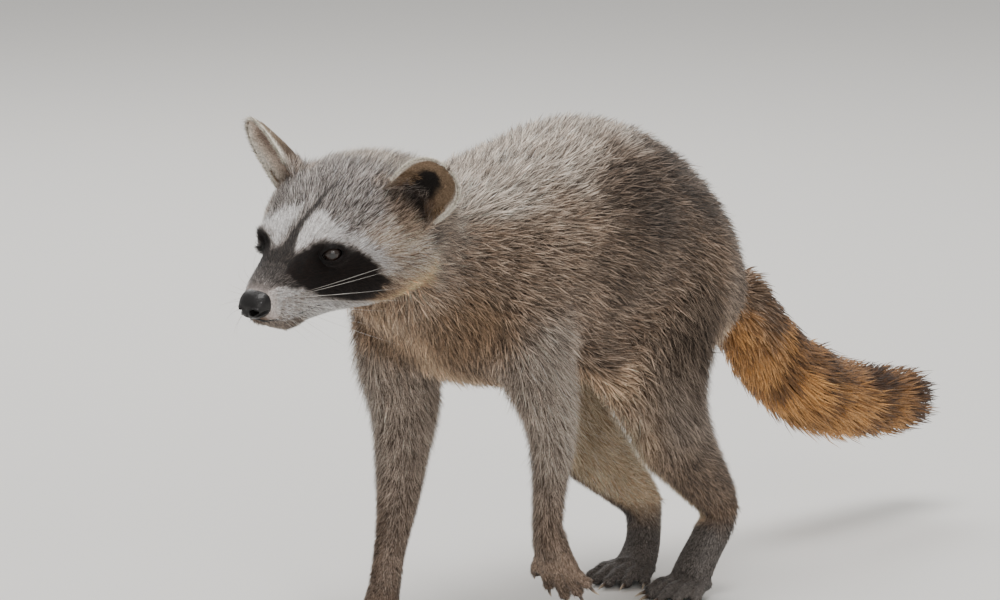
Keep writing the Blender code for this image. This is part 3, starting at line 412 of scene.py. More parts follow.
def solid(name, form, shift=0):
    """A mesh object of a closed form, which is points, quads and fans, with its points moved by shift."""
    points, quads, fans = form
    return make(name, points + shift, [quads, fans])


def move_points(made, points):
    """Gives a mesh object new places for its points."""
    made.data.vertices.foreach_set("co", points.astype(np.float32).ravel())
    made.data.update()


def tube_faces(stations, around):
    """Quads round a grid of rings, and the two fans to a pole at each end."""
    i, j = np.meshgrid(np.arange(stations - 1), np.arange(around), indexing="ij")
    k = (j + 1) % around
    quads = np.stack([i * around + j, i * around + k, (i + 1) * around + k, (i + 1) * around + j], -1)
    ring = np.arange(around)
    after = (ring + 1) % around
    last = (stations - 1) * around
    first_pole, last_pole = stations * around, stations * around + 1
    start = np.stack([after, ring, np.full(around, first_pole)], 1)
    end = np.stack([last + ring, last + after, np.full(around, last_pole)], 1)
    return quads.reshape(-1, 4), np.vstack([start, end])


def skin_over(rings, poles=None):
    """Points and faces of a closed tube over rings (stations, around, 3), turned to face outward."""
    rings = np.asarray(rings, float)
    stations, around = rings.shape[:2]
    poles = (rings[0].mean(0), rings[-1].mean(0)) if poles is None else poles
    points = np.vstack([rings.reshape(-1, 3), poles])
    quads, fans = tube_faces(stations, around)
    corners = points[quads]
    middle = points.mean(0)
    volume = np.einsum(
        "ij,ij->i", corners[:, 0] - middle, np.cross(corners[:, 1] - middle, corners[:, 2] - middle)
    ).sum()
    if volume < 0:
        quads, fans = quads[:, ::-1], fans[:, ::-1]
    return points, quads, fans


def together(parts):
    """Several (points, quads, fans) as one."""
    points, quads, fans, count = [], [], [], 0
    for p, q, f in parts:
        points.append(p)
        quads.append(q + count)
        fans.append(f + count)
        count += len(p)
    return np.vstack(points), np.vstack(quads), np.vstack(fans)


def ovals(centres, across, upward, wide, high, low, around, power=2.0):
    """Rings of superellipses: half width wide, reaching high above and low under each centre."""
    angle = circle(around)
    cos, sin = np.cos(angle), np.sin(angle)
    x = np.sign(cos) * np.abs(cos) ** (2 / power)
    y = np.sign(sin) * np.abs(sin) ** (2 / power)
    reach = np.where(y[None, :] > 0, high[:, None], low[:, None])
    return (
        centres[:, None, :]
        + (wide[:, None] * x)[..., None] * across[:, None, :]
        + (reach * y)[..., None] * upward[:, None, :]
    )


def tube(rows, around, side=(1, 0, 0), count=None):
    """A closed tube along rows of x, y, z, half width across, half depth, square to the path."""
    rows = spline(rows, count or 3 * len(rows))
    path = rows[:, :3]
    tangent = unit(np.gradient(path, axis=0))
    side = np.asarray(side, float)
    across = unit(side - tangent * (tangent @ side)[:, None])
    depth = np.cross(tangent, across)
    return skin_over(ovals(path, across, depth, rows[:, 3], rows[:, 4], rows[:, 4], around))


def ellipsoid(place, radii, axes, around=28, stations=16):
    """A closed ball of half sizes radii along the rows of axes, about place."""
    angle = np.linspace(0, math.pi, stations + 2)[1:-1]
    turn = circle(around)
    local = np.stack([
        np.repeat(np.cos(angle)[:, None], around, 1),
        np.sin(angle)[:, None] * np.cos(turn),
        np.sin(angle)[:, None] * np.sin(turn),
    ], -1) * radii
    ends = (np.array((1.0, 0, 0)) * radii, np.array((-1.0, 0, 0)) * radii)
    return skin_over(local @ axes + place, [end @ axes + place for end in ends])


# The animal's own forms


def toe_lines():
    """For each toe: start, way, down, length, drop, whether it stands on the floor."""
    lines = []
    for rows, toes, along, down, drop, floor, side in PAWS:
        along, down = unit(along), unit(down)
        sideways = np.cross(along, down)
        root = np.array(rows[-1][:3]) - along * 0.004
        for offset, spread, length in toes:
            turn = math.radians(spread)
            way = along * math.cos(turn) + side * sideways * math.sin(turn)
            start = root + side * sideways * offset - along * abs(offset) * 0.35
            lines.append((start, way, down, length, drop, floor))
    return lines


def toe_rows(start, way, down, length, drop):
    """A toe's path and radius: it arches, then drops towards its tip."""
    share, thick = np.array(TOE_SHAPE).T
    ahead = np.maximum(share, 0)
    sag = drop * ahead**1.6 - TOE_ARCH * np.sin(math.pi * ahead)
    path = start + way * (length * share)[:, None] + down * sag[:, None]
    return np.column_stack([path, TOE_RADIUS * thick, TOE_RADIUS * thick])


def upright_rings(rows, level, across, around, power):
    """Upright superellipses, their centres and half widths.

    Rows hold x, y, z, top, underside and half width, and level is where each is widest.
    """
    centres = np.stack([rows[:, 0], rows[:, 1], level], 1)
    flat = np.ones((len(rows), 1))
    top, low, wide = rows[:, 3:6].T
    rings = ovals(centres, flat * across, flat * (0, 0, 1), wide, top - level, level - low, around, power)
    return rings, centres, wide


def trunk_rings():
    """Torso and neck: sections along Y, widest a little above the middle."""
    rows = spline([(0, y, 0, top, low, wide) for y, top, low, wide in TRUNK], 50)
    return upright_rings(rows, 0.55 * rows[:, 3] + 0.45 * rows[:, 4], (1, 0, 0), 56, TRUNK_POWER)


def head_rings(table, count, around, power):
    """Sections square to the head's own axis."""
    rows = spline([(f, 0, 0, top, low, wide, level) for f, top, low, wide, level in table], count)
    return upright_rings(rows, rows[:, 6], (0, 1, 0), around, power)


def bones():
    """Places down the middle of each form, the way its hair runs, its radius and its region."""
    found = []

    def add(path, radius, region):
        way = unit(np.gradient(path, axis=0))
        found.append(np.column_stack([path, way, radius, np.full(len(path), region)]))

    _, centres, wide = trunk_rings()
    add(centres[::-1], wide[::-1] * 1.02, TRUNK_R)
    _, centres, wide = head_rings(HEAD, 40, 8, HEAD_POWER)
    add(from_head(centres[::-1]), wide[::-1], HEAD_R)
    for rows, region in LIMBS:
        fine = spline(rows, 22)[5:]
        add(fine[:, :3], fine[:, 3:5].mean(1), region)
    for rows, *_ in PAWS:
        fine = spline(rows, 10)[4:]
        add(fine[:, :3], fine[:, 3:5].mean(1), PAW_R)
    for start, way, down, length, drop, _ in toe_lines():
        fine = toe_rows(start, way, down, length, drop)
        add(fine[:, :3], fine[:, 3], PAW_R)
    fine = spline(TAIL, 50)
    add(fine[3:, :3], fine[3:, 4] * 0.8, TAIL_R)
    return np.vstack(found)


BONES = bones()


def fields(points):
    """Share of each region and the mean way of the bones, at each point: near bones count most."""
    shares = np.zeros((len(points), len(REGIONS)))
    ways = np.zeros((len(points), 3))
    for start in range(0, len(points), CHUNK):
        part = slice(start, start + CHUNK)
        away = np.sqrt(((points[part][:, None, :] - BONES[None, :, :3]) ** 2).sum(-1)) / BONES[:, 6]
        weight = 1 / np.maximum(away, BONE_CORE) ** BONE_FALL
        weight /= weight.sum(1, keepdims=True)
        ways[part] = weight @ BONES[:, 3:6]
        for region in REGIONS:
            shares[part, region] = weight[:, BONES[:, 7] == region].sum(1)
    return shares, ways


HEAD_DROP = 0.013  # the line that angles on the head are taken about lies this far below its frame


def head_polar(local):
    """Forward in millimetres and the angle in degrees up from level, on either side of the head."""
    return local[:, 0] * 1000, np.degrees(np.arctan2(local[:, 2] + HEAD_DROP, np.abs(local[:, 1])))


# Stops for the coat's measures: height on the trunk and the legs, forward on the head, along on the tail.
TRUNK_STOPS = (0.14, 0.18, 0.24, 0.30)
HEAD_STOPS = (-0.09, -0.05, -0.03, -0.01, 0.015, 0.03, 0.06)
FORELEG_STOPS = (0.04, 0.07, 0.10, 0.14, 0.19)
HINDLEG_STOPS = (0.03, 0.06, 0.09, 0.13, 0.19)
TAIL_STOPS = (0.225, 0.29, 0.42, 0.45)


def by_region(points, shares, trunk, head, foreleg, hindleg, paw, tail):
    """A measure of the coat: each region's values at its stops, blended by the shares of the regions."""
    forward, along, height = to_head(points)[:, 0], points[:, 1], points[:, 2]
    kinds = np.stack([
        np.interp(height, TRUNK_STOPS, trunk),
        np.interp(forward, HEAD_STOPS, head),
        np.interp(height, FORELEG_STOPS, foreleg),
        np.interp(height, HINDLEG_STOPS, hindleg),
        paw + 0 * height,
        np.interp(along, TAIL_STOPS, tail),
    ], 1)
    return (kinds * shares).sum(1)


def coat_depth(points, shares):
    """How deep the coat is: from its tips down to the skin. The tail's own depth is added later."""
    return by_region(
        points, shares,
        (0.0060, 0.0085, 0.0100, 0.0105),
        (0.0085, 0.0062, 0.0045, 0.0026, 0.0014, 0.0010, 0.0008),
        (0.0016, 0.0022, 0.0034, 0.0055, 0.0085),
        (0.0014, 0.0022, 0.0036, 0.0060, 0.0090),
        0.0009,
        (0, 0, 0, 0),
    )


def hair_length(points, shares):
    """How long the hair is, root to tip."""
    return by_region(
        points, shares,
        (0.0135, 0.0145, 0.0145, 0.0140),
        (0.0200, 0.0120, 0.0080, 0.0056, 0.0044, 0.0036, 0.0030),
        (0.0038, 0.0056, 0.0090, 0.0125, 0.0150),
        (0.0036, 0.0058, 0.0092, 0.0130, 0.0155),
        0.0026,
        (0.015, 0.033, 0.030, 0.012),
    )


HAIR_LEAVES = (0.062, 0, -0.006)  # place in the head frame that the face's hair points away from


def hair_lie(points, outward, shares, ways):
    """The way the hair lies along the skin: down the limbs, back over the trunk, away from the nose."""
    local = to_head(points)
    from_nose = local - np.array(HAIR_LEAVES)
    swept = np.column_stack([0 * local[:, 0], 0 * local[:, 1], -0.35 * smooth(0, 0.03, -local[:, 2])])
    back = smooth(-0.035, -0.075, local[:, 0])[:, None]
    on_head = unit(unit(from_nose) * (1 - back) + np.array((-1.0, 0, -0.15)) * back + swept) @ AXES
    lie = ways * (1 - shares[:, HEAD_R : HEAD_R + 1]) + on_head * shares[:, HEAD_R : HEAD_R + 1]
    flank = shares[:, TRUNK_R] * np.abs(outward[:, 0]) * 0.45
    chest = shares[:, TRUNK_R] * smooth(0.0, 0.8, -outward[:, 1]) * 0.8
    lie = lie - np.outer(flank + chest, (0, 0, 1))
    lie = lie + 0.20 * np.column_stack([wobble(points, 0.040, seed) for seed in (3, 4, 5)])
    return unit(flattened(lie, outward))


# Markings


def inside(outline, x, y):
    """Signed distance to a closed outline, positive inside it."""
    a = np.array(outline, float)
    b = np.roll(a, -1, axis=0)
    best = np.full(len(x), 1e9)
    crossed = np.zeros(len(x), bool)
    for (ax, ay), (bx, by) in zip(a, b):
        dx, dy = bx - ax, by - ay
        t = np.clip(((x - ax) * dx + (y - ay) * dy) / (dx * dx + dy * dy), 0, 1)
        best = np.minimum(best, np.hypot(x - ax - t * dx, y - ay - t * dy))
        if by != ay:
            crossed ^= ((ay > y) != (by > y)) & (x < ax + (y - ay) * dx / dy)
    return np.where(crossed, best, -best)


# Outlines on the head: forward in millimetres, angle up from level in degrees.
ANGLE_SIZE = 0.45  # millimetres for one degree
MASK = (
    (19, 62), (10, 57), (3.5, 43), (-4.2, 31), (-10.3, 19), (-15.0, 6), (-20.0, -8), (-23, -17),
    (-20.5, -28), (-13, -35), (-1.3, -34), (12.5, -25), (21.5, -3), (25.5, 14), (28, 50),
)
BROW = (
    (15, 68), (7.4, 56), (1.5, 42), (-5.6, 31), (-10.7, 18), (-14.6, 5), (-21, -8), (-29, -8),
    (-24, 6), (-17.5, 23), (-11.5, 36), (-11, 52), (-12.5, 68), (-13, 81), (-5, 81), (5, 80), (14, 74),
)
CHEEK_TAN = ((-16, -24), (-36, -18), (-60, -15), (-66, -40), (-52, -54), (-26, -49), (-6, -42))
MASK_SHADE = ((-12, -18), (-26, -12), (-34, -22), (-30, -38), (-14, -42), (4, -40), (8, -28))
BRIDGE = (
    (14, 80), (16, 40), (20, 6), (26, 4), (30, 12), (34, 24), (39, 34), (44, 42), (44, 130), (14, 130),
)
MUZZLE_WHITE = (
    (46, 26), (39, 28), (27, 24), (23, 0), (14, -26), (-1, -36), (-16, -38), (-30, -52), (-20, -66),
    (8, -72), (20, -66), (27, -50), (34, -38), (44, -34), (48, -10),
)

# Roots of the whiskers on the left pad, four rows from the front back: forward, left, up.
WHISKER_ROWS = [(row, k) for row in range(4) for k in range(5 - row // 2)]
WHISKER_SPOTS = np.array([
    (0.038 - 0.0048 * k + 0.0012 * row, 0.0135 + 0.0011 * k, -0.0158 - 0.0030 * row)
    for row, k in WHISKER_ROWS
])


def on_outline(outline, forward, angle, softness):
    """How far inside an outline on the head, 0 to 1, with an edge that soft in millimetres."""
    flat = [(f, a * ANGLE_SIZE) for f, a in outline]
    return smooth(-softness, softness, inside(flat, forward, angle * ANGLE_SIZE))


def tone(*stops):
    """A tone of the coat: its colours at root, middle and tip."""
    return [linear(*stop) for stop in stops]


FLANK = tone((58, 46, 38), (138, 116, 98), (194, 173, 153))
SILVER = tone((72, 64, 58), (172, 158, 145), (222, 211, 197))
SADDLE = tone((42, 34, 28), (102, 86, 73), (156, 137, 120))
DARK_BACK = tone((30, 25, 22), (74, 63, 56), (122, 109, 99))
BUFF = tone((118, 92, 70), (200, 167, 136), (224, 198, 168))
CHEST = tone((58, 44, 33), (124, 98, 75), (166, 138, 110))
LEG = tone((92, 79, 70), (176, 157, 142), (222, 206, 191))
SHANK = tone((66, 55, 47), (138, 115, 99), (178, 154, 135))
FOOT = tone((54, 50, 48), (118, 111, 106), (152, 144, 138))
GOLD = tone((106, 66, 30), (182, 128, 73), (206, 155, 96))
TAIL_TOP = tone((92, 62, 40), (156, 116, 80), (96, 70, 50))
TAIL_BAND = tone((50, 33, 22), (84, 57, 38), (44, 30, 21))
CROWN = tone((42, 34, 31), (122, 109, 102), (206, 196, 189))
WHITE = tone((112, 102, 96), (220, 212, 208), (254, 251, 249))
MUZZLE = tone((104, 94, 88), (200, 188, 183), (246, 237, 232))
CHEEK = tone((126, 103, 86), (210, 182, 158), (240, 218, 196))
# Paler than the legs' real buff: painted light on the shaded inner sides of the hind legs.
PALE_LEG_PAINTED_LIGHT = tone((178, 144, 112), (250, 218, 180), (252, 232, 200))
TAN = tone((138, 96, 62), (222, 168, 118), (242, 198, 148))
STRIPE = tone((20, 16, 14), (40, 33, 29), (70, 61, 56))
CHIN = tone((50, 40, 34), (112, 94, 81), (188, 173, 160))
MASKED = tone((6, 4, 4), (12, 8, 6), (32, 22, 18))

TAIL_RINGS = (0.176, 0.220, 0.264, 0.311, 0.394, 0.452)  # places of the dark rings along the tail
# Dark spots round the roots of the ears, hair and painted shade where they meet the head: tone, forward,
# angle, stretch of the angle, distance where it fades out, distance where it is full, share, share of
# dark tips.
EAR_SPOTS_AND_SHADE = (
    (DARK_BACK, -63, 2, 1.2, 9, 4, 0.85, 0.6),
    (CHEST, -42, 26, 1, 11, 4, 0.6, 0.45),
    (STRIPE, -55, 24, 1, 8, 4, 0.9, 0.6),
    (CHEST, -50, 50, 1, 9, 3, 0.5, 0.5),
)
# Edges of the stripe up the forehead, in millimetres left of the middle, at stops forward.
STRIPE_STOPS = (-24, -14, -7, 0, 8, 15, 22)
STRIPE_LEFT = (5.2, 5.2, 4.7, 4.1, 5.6, 8.5, 11)
STRIPE_RIGHT = (2.6, 1.4, 0.8, -0.4, -1.4, -3.0, -8)
REAR_FROM = 0.05  # paws further back along Y than this are hind ones


def coat_tones(points, outward, shares):
    """Colour of the hair at root, middle and tip, and the share of hairs that end dark."""
    across, along, height = points.T
    fore_face, up_face = -outward[:, 1], outward[:, 2]
    local = to_head(points)
    forward, angle = head_polar(local)
    trunk, head, foreleg, hindleg, paw, tail = shares.T
    count = len(points)
    mottle = wobble(points, 0.05, 11)
    patch = wobble(points, 0.13, 12)
    tones = [np.tile(stop, (count, 1)) for stop in FLANK]
    dark_tips = np.full(count, 0.42)

    def lay(kind, share, dark=None):
        nonlocal tones, dark_tips
        share = np.clip(share, 0, 1)
        tones = [mixed(old, new, share) for old, new in zip(tones, kind)]
        if dark is not None:
            dark_tips = dark_tips * (1 - share) + dark * share

    # Trunk
    top = smooth(0.245, 0.298, height + 0.009 * mottle)
    lay(SILVER, top * smooth(0.060, -0.02, along + 0.020 * patch + 0.012 * mottle) * 0.8, 0.36)
    back = along + 0.028 * patch + 0.014 * mottle
    saddle = smooth(0.17, 0.26, height + 0.014 * mottle) * smooth(-0.030, 0.085, back)
    lay(SADDLE, saddle * 0.78, 0.55)
    lay(SADDLE, smooth(0.06, 0.17, back) * 0.42, 0.50)
    hump = ((back - 0.085) / 0.055) ** 2 + ((height - 0.272) / 0.032) ** 2
    lay(DARK_BACK, smooth(1.5, 0.2, hump + 0.3 * mottle) * 0.7, 0.6)
    spine = smooth(0.68, 0.92, up_face + 0.08 * mottle) * smooth(0.250, 0.280, height)
    lay(SILVER, spine * smooth(0.215, 0.16, along) * 0.85, 0.30)
    lay(SADDLE, smooth(0.5, 1.5, patch + mottle) * 0.35)
    shoulder = ((along + 0.070) / 0.034) ** 2 + ((height - 0.279) / 0.013) ** 2
    lay(SILVER, smooth(1.3, 0.3, shoulder + 0.3 * mottle) * trunk * 0.9, 0.12)
    lay(BUFF, smooth(0.178, 0.152, height + 0.004 * mottle) * trunk * 0.95, 0.10)
    throat = smooth(0.0, 0.55, -up_face + 0.6 * fore_face) * smooth(-0.06, -0.10, along)
    lay(CHEST, throat * 0.95, 0.28)
    breast = np.exp(-((across / 0.013) ** 2)) * smooth(0.1, 0.6, fore_face - up_face)
    breast = breast * smooth(-0.02, -0.05, along) * smooth(0.25, 0.22, height)
    lay(BUFF, breast * trunk * 0.6, 0.1)

    # Legs and paws
    inner = smooth(-0.25, 0.45, -np.sign(across) * outward[:, 0])
    lay(LEG, foreleg * 0.9, 0.30)
    lay(SADDLE, hindleg * 0.65, 0.45)
    lay(LEG, hindleg * smooth(0.17, 0.12, height + 0.006 * mottle) * 0.45, 0.40)
    # Painted shade: shank brown darkens the forelegs' inner sides, which face away from the light.
    lay(SHANK, foreleg * inner * 0.3, 0.4)
    # Painted light: the hind legs' inner sides take a tone paler than their buff, which thins towards the
    # body.
    thigh = 0.95 - 0.32 * smooth(0.085, 0.13, height + 0.008 * mottle)
    lay(PALE_LEG_PAINTED_LIGHT, hindleg * inner * smooth(0.030, 0.055, height) * thigh, 0.12)
    front_edge = smooth(0.25, 0.75, fore_face) * smooth(0.06, 0.09, height) * smooth(0.16, 0.14, height)
    lay(BUFF, hindleg * front_edge * 0.6, 0.15)
    rear_edge = smooth(0.35, 0.85, -fore_face) * smooth(0.13, 0.16, height)
    lay(BUFF, hindleg * rear_edge * smooth(0.10, 0.13, along) * 0.7, 0.2)
    # Buff on the back-facing side of the upper forelegs: partly pale hair, partly a painted highlight
    # along that edge.
    lay(BUFF, foreleg * smooth(0.45, 0.9, -fore_face) * smooth(0.125, 0.15, height) * 0.8, 0.2)
    lay(SHANK, foreleg * smooth(0.125, 0.06, height) * (0.95 - 0.45 * inner), 0.40)
    # The hind legs' inner sides get less shank, chest and foot brown low down, which is part of their
    # painted light.
    lay(SHANK, hindleg * smooth(0.115, 0.075, height) * (0.9 - 0.85 * inner), 0.50)
    lay(CHEST, hindleg * smooth(0.125, 0.085, height) * (1 - inner) * 0.5)
    lay(FOOT, hindleg * smooth(0.055, 0.036, height) * (1 - 0.5 * inner), 0.50)
    rear = along > REAR_FROM
    lay(FOOT, paw * np.where(rear, 1.0, 0.25) * smooth(0.060, 0.045, height), 0.4)
    lay(SHANK, paw * np.where(rear, 0.0, 0.8), 0.4)
    back_of_hand = smooth(0.0, 0.6, fore_face) * smooth(0.030, 0.040, height) * (along < REAR_FROM)
    lay(CHEEK, paw * back_of_hand * 0.3, 0.2)

    # Tail
    lay(GOLD, tail, 0.10)
    place = along - 0.5 * (height - 0.09) + 0.006 * wobble(points, 0.03, 14)
    ringed = 0.5 + 0.5 * np.cos(2 * math.pi * np.interp(place, TAIL_RINGS, range(len(TAIL_RINGS))))
    upper = smooth(-0.45, 0.45, up_face + 0.30 * wobble(points, 0.03, 13))
    lay(TAIL_TOP, tail * upper * 0.85, 0.40)
    late = smooth(0.30, 0.42, along)
    lay(TAIL_BAND, tail * smooth(0.35, 0.80, ringed) * (0.28 + 0.45 * upper + 0.42 * late), 0.55)
    lay(TAIL_BAND, tail * smooth(0.385, 0.415, along) * 0.35)
    lay(TAIL_BAND, tail * smooth(0.425, 0.450, along) * 0.6, 0.75)
    lay(SADDLE, tail * smooth(0.275, 0.235, along) * smooth(-0.5, 0.5, up_face + 0.3), 0.5)

    # Head
    head = head * smooth(-0.105, -0.085, local[:, 0])
    lay(CROWN, head, 0.52)
    side_face = smooth(40, 15, angle) * smooth(-8, -22, forward)
    lay(CHEEK, head * side_face * 0.85, 0.16)
    nape = head * smooth(-56, -78, forward)
    lay(FLANK, nape * 0.75, 0.4)
    lay(SILVER, nape * smooth(25, 55, angle) * 0.4, 0.4)
    lay(SADDLE, nape * smooth(40, 15, angle) * 0.35, 0.5)
    lay(TAN, head * on_outline(CHEEK_TAN, forward, angle, 5) * 0.9, 0.16)
    lay(BUFF, head * smooth(-42, -62, angle) * smooth(10, -10, forward) * 0.8, 0.1)
    # Dark hair and painted shade round the roots of the ears.
    for kind, ahead, rise, stretch, fades, full, share, dark in EAR_SPOTS_AND_SHADE:
        away = np.hypot(forward - ahead, (angle - rise) * ANGLE_SIZE * stretch)
        lay(kind, head * smooth(fades, full, away) * share, dark)
    ragged = 1.3 * wobble(points, 0.006, 15)
    lay(WHITE, head * on_outline(BROW, forward + ragged, angle, 2.8) * smooth(-32, -16, forward), 0.10)
    lay(MUZZLE, head * smooth(20, 28, forward), 0.1)
    lay(SADDLE, head * on_outline(MASK_SHADE, forward + ragged, angle, 3.5) * 0.55, 0.5)
    lay(WHITE, head * on_outline(MUZZLE_WHITE, forward, angle, 2.5) * 0.85, 0.05)
    spots = WHISKER_SPOTS[:, None, :] - np.column_stack([local[:, 0], np.abs(local[:, 1]), local[:, 2]])
    dots = np.sqrt((spots**2).sum(-1).min(0))
    lay(SHANK, head * smooth(0.0026, 0.0010, dots) * 0.55, 0.4)
    lay(CHIN, head * smooth(-44, -58, angle) * smooth(14, 24, forward), 0.45)
    left = local[:, 1] * 1000
    low, high = (np.interp(forward, STRIPE_STOPS, edge) for edge in (STRIPE_RIGHT, STRIPE_LEFT))
    stripe = smooth(-0.9, 0.9, np.minimum(left - low, high - left)) * smooth(-44, -24, forward)
    lay(STRIPE, head * (stripe * (angle > 18)) * (forward < 24) * 0.95, 0.5)
    fading = np.interp(forward, (24, 35, 43), (0.95, 0.88, 0.55))
    lay(STRIPE, head * (on_outline(BRIDGE, forward, angle, 2.0) * fading), 0.5)
    lay(MASKED, head * on_outline(MASK, forward + ragged, angle + ragged, 1.6), 0.0)
    lay(MASKED, head * smooth(0.0112, 0.0086, eye_distance(local)), 0.0)
    return tones, dark_tips


# The skin


def paw_forms():
    """The four paws and their toes."""
    parts = [tube(rows, 28) for rows, *_ in PAWS]
    for start, way, down, length, drop, _ in toe_lines():
        parts.append(tube(toe_rows(start, way, down, length, drop), 18, np.cross(way, down), 24))
    return parts


def flesh_forms():
    """Every form of flesh but the paws, at the tips of its coat; the tail is its core."""
    trunk, _, _ = trunk_rings()
    face, _, _ = head_rings(HEAD, 60, 56, HEAD_POWER)
    parts = [skin_over(trunk), skin_over(from_head(face))]
    for place, radii in SWELLINGS:
        for side in (1, -1):
            parts.append(ellipsoid(from_head(np.array(place) * (1, side, 1)), radii, AXES))
    for rows, _ in LIMBS:
        parts.append(tube(rows, 32))
    for side in (1, -1):
        fold = np.array(FLANK_FOLD) * (side, 1, 1, 1, 1) + (0, FOLD_BACK[side], 0, 0, 0)
        parts.append(tube(fold, 24))
    fine = spline(TAIL, 40)
    parts.append(tube(fine[:, :4][:, [0, 1, 2, 3, 3]], 24, count=60))
    return parts


def applied(made):
    """Replaces an object's mesh with what its modifiers give."""
    depsgraph = bpy.context.evaluated_depsgraph_get()
    depsgraph.update()
    mesh = bpy.data.meshes.new_from_object(made.evaluated_get(depsgraph))
    old = made.data
    made.modifiers.clear()
    made.data = mesh
    bpy.data.meshes.remove(old)
    return made


def read_mesh(made):
    """Points, triangles and outward directions of an object's mesh, as arrays."""
    mesh = made.data
    mesh.calc_loop_triangles()

    def read(items, field, kind):
        values = np.zeros(3 * len(items), kind)
        items.foreach_get(field, values)
        return values.reshape(-1, 3)

    points = read(mesh.vertices, "co", np.float32).astype(float)
    corners = read(mesh.loop_triangles, "vertices", np.int32)
    return points, corners, read(mesh.vertex_normals, "vector", np.float32).astype(float)


def ear_frame(side):
    """An ear's base, height and its axis, facing and across directions, in the head frame."""
    base, tip = np.array(EAR_BASE) * (1, side, 1), np.array(EAR_TIP[side])
    height = np.linalg.norm(tip - base)
    axis = (tip - base) / height
    facing = np.array(EAR_FACING[side])
    facing = unit(facing - axis * (facing @ axis))
    return base, height, axis, facing, np.cross(axis, facing)


def ear_grid(side):
    """An ear as rings up its height: an inner arc, then the outer arc a wall behind it."""
    base, height, axis, facing, across = ear_frame(side)
    share = np.concatenate([[-EAR_ROOT / height], EAR_LEVELS])
    up = np.maximum(share, 0)
    half = EAR_HALF_WIDTH * (1 - 0.10 * (1 - up) ** 2) * np.sqrt(np.maximum(1 - up**EAR_ROUNDNESS, 0.004))
    bend = np.radians(EAR_CURL[0] + (EAR_CURL[1] - EAR_CURL[0]) * up)
    wall = EAR_WALL * (1.15 - 0.5 * up)
    radius = (half / np.sin(bend))[:, None]
    turn = np.linspace(-1, 1, EAR_ARC) * bend[:, None]
    inner = np.stack([radius * np.sin(turn), -radius * (np.cos(turn) - np.cos(bend)[:, None])], -1)
    thick = wall[:, None] * (0.30 + 0.70 * np.cos(turn / bend[:, None] * math.pi / 2))
    outer = inner + np.stack([np.sin(turn), -np.cos(turn)], -1) * thick[..., None]
    ring = np.concatenate([inner, outer[:, ::-1]], 1)
    rise = (axis * (height * share)[:, None])[:, None, :]
    return from_head(base + rise + ring[..., :1] * across + ring[..., 1:] * facing)


def boolean(made, other, operation):
    """Joins or cuts made with other, which is removed."""
    step = made.modifiers.new(operation, "BOOLEAN")
    step.operation = operation
    step.object = other
    step.solver = "MANIFOLD"
    applied(made)
    bpy.data.objects.remove(other)


def fused(name, parts, voxel, rounds):
    """Parts made one closed surface by a voxel remesh, then smoothed."""
    made = solid(name, together(parts))
    fuse = made.modifiers.new("fuse", "REMESH")
    fuse.mode, fuse.voxel_size = "VOXEL", voxel
    ease = made.modifiers.new("ease", "SMOOTH")
    ease.factor, ease.iterations = 0.5, rounds
    return applied(made)


def spread_over(values, corners, share, rounds):
    """Values at points moved by share towards the mean of their neighbours', in rounds."""
    pairs = np.concatenate([corners[:, [0, 1]], corners[:, [1, 2]], corners[:, [2, 0]]])
    a, b = np.concatenate([pairs, pairs[:, ::-1]]).T
    count = np.bincount(a, minlength=len(values)).astype(float)[:, None]
    for _ in range(rounds):
        mean = np.stack([np.bincount(a, column[b], len(values)) for column in values.T], 1) / count
        values = values + (mean - values) * share
    return values


def make_skin():
    """The whole flesh fused, eased where parts meet, sunk by the coat's depth, with ears and lids."""
    whole = fused("skin", flesh_forms(), FLESH_VOXEL, 5)
    boolean(whole, fused("paws", paw_forms(), PAW_VOXEL, 3), "UNION")
    points, corners, outward = read_mesh(whole)
    shares, _ = fields(points)
    forward = to_head(points)[:, 0]
    soft = shares[:, TRUNK_R] + shares[:, HEAD_R] * smooth(-0.045, -0.075, forward)
    soft = soft + (shares[:, FORELEG_R] + shares[:, HINDLEG_R]) * smooth(0.08, 0.15, points[:, 2])
    move_points(whole, spread_over(points, corners, 0.5 * np.clip(soft, 0, 1)[:, None], EASING_ROUNDS))
    points, corners, outward = read_mesh(whole)
    depth = spread_over(coat_depth(points, shares)[:, None], corners, 0.5, 10)
    points = points - spread_over(outward, corners, 0.5, 4) * depth
    points[:, 2] = np.maximum(points[:, 2], SKIN_ABOVE_FLOOR)
    move_points(whole, spread_over(points, corners, 0.5 * (1 - shares[:, PAW_R])[:, None], 3))
    turns = circle(40)
    rim = np.stack([LID_OPENING[0] * np.cos(turns), lid_line(turns), 0 * turns], 1)
    bore = np.array([rim + (0, 0, z) for z in (0.002, 0.018)])
    for side in (1, -1):
        centre, turn = gaze(side)
        ball = turn[[2, 0, 1]]
        for name, form, operation in (
            ("ear", skin_over(ear_grid(side)), "UNION"),
            ("lid", ellipsoid(centre, EYE_RADIUS + LID_THICKNESS, ball, 40, 24), "UNION"),
            ("socket", ellipsoid(centre, EYE_RADIUS + EYE_GAP, ball, 40, 24), "DIFFERENCE"),
            ("opening", skin_over(bore @ turn + centre), "DIFFERENCE"),
        ):
            boolean(whole, solid(name, form), operation)
    thin = whole.modifiers.new("thin", "DECIMATE")
    thin.ratio = SKIN_KEPT
    return applied(whole)


def lid_line(turns):
    """Height of the eye's opening round its rim: an almond, fuller above than below."""
    sine = np.sin(turns)
    return LID_OPENING[1] * np.where(sine > 0, sine, 0.86 * sine) * (1 - 0.10 * np.cos(turns) ** 2)


# Tufts


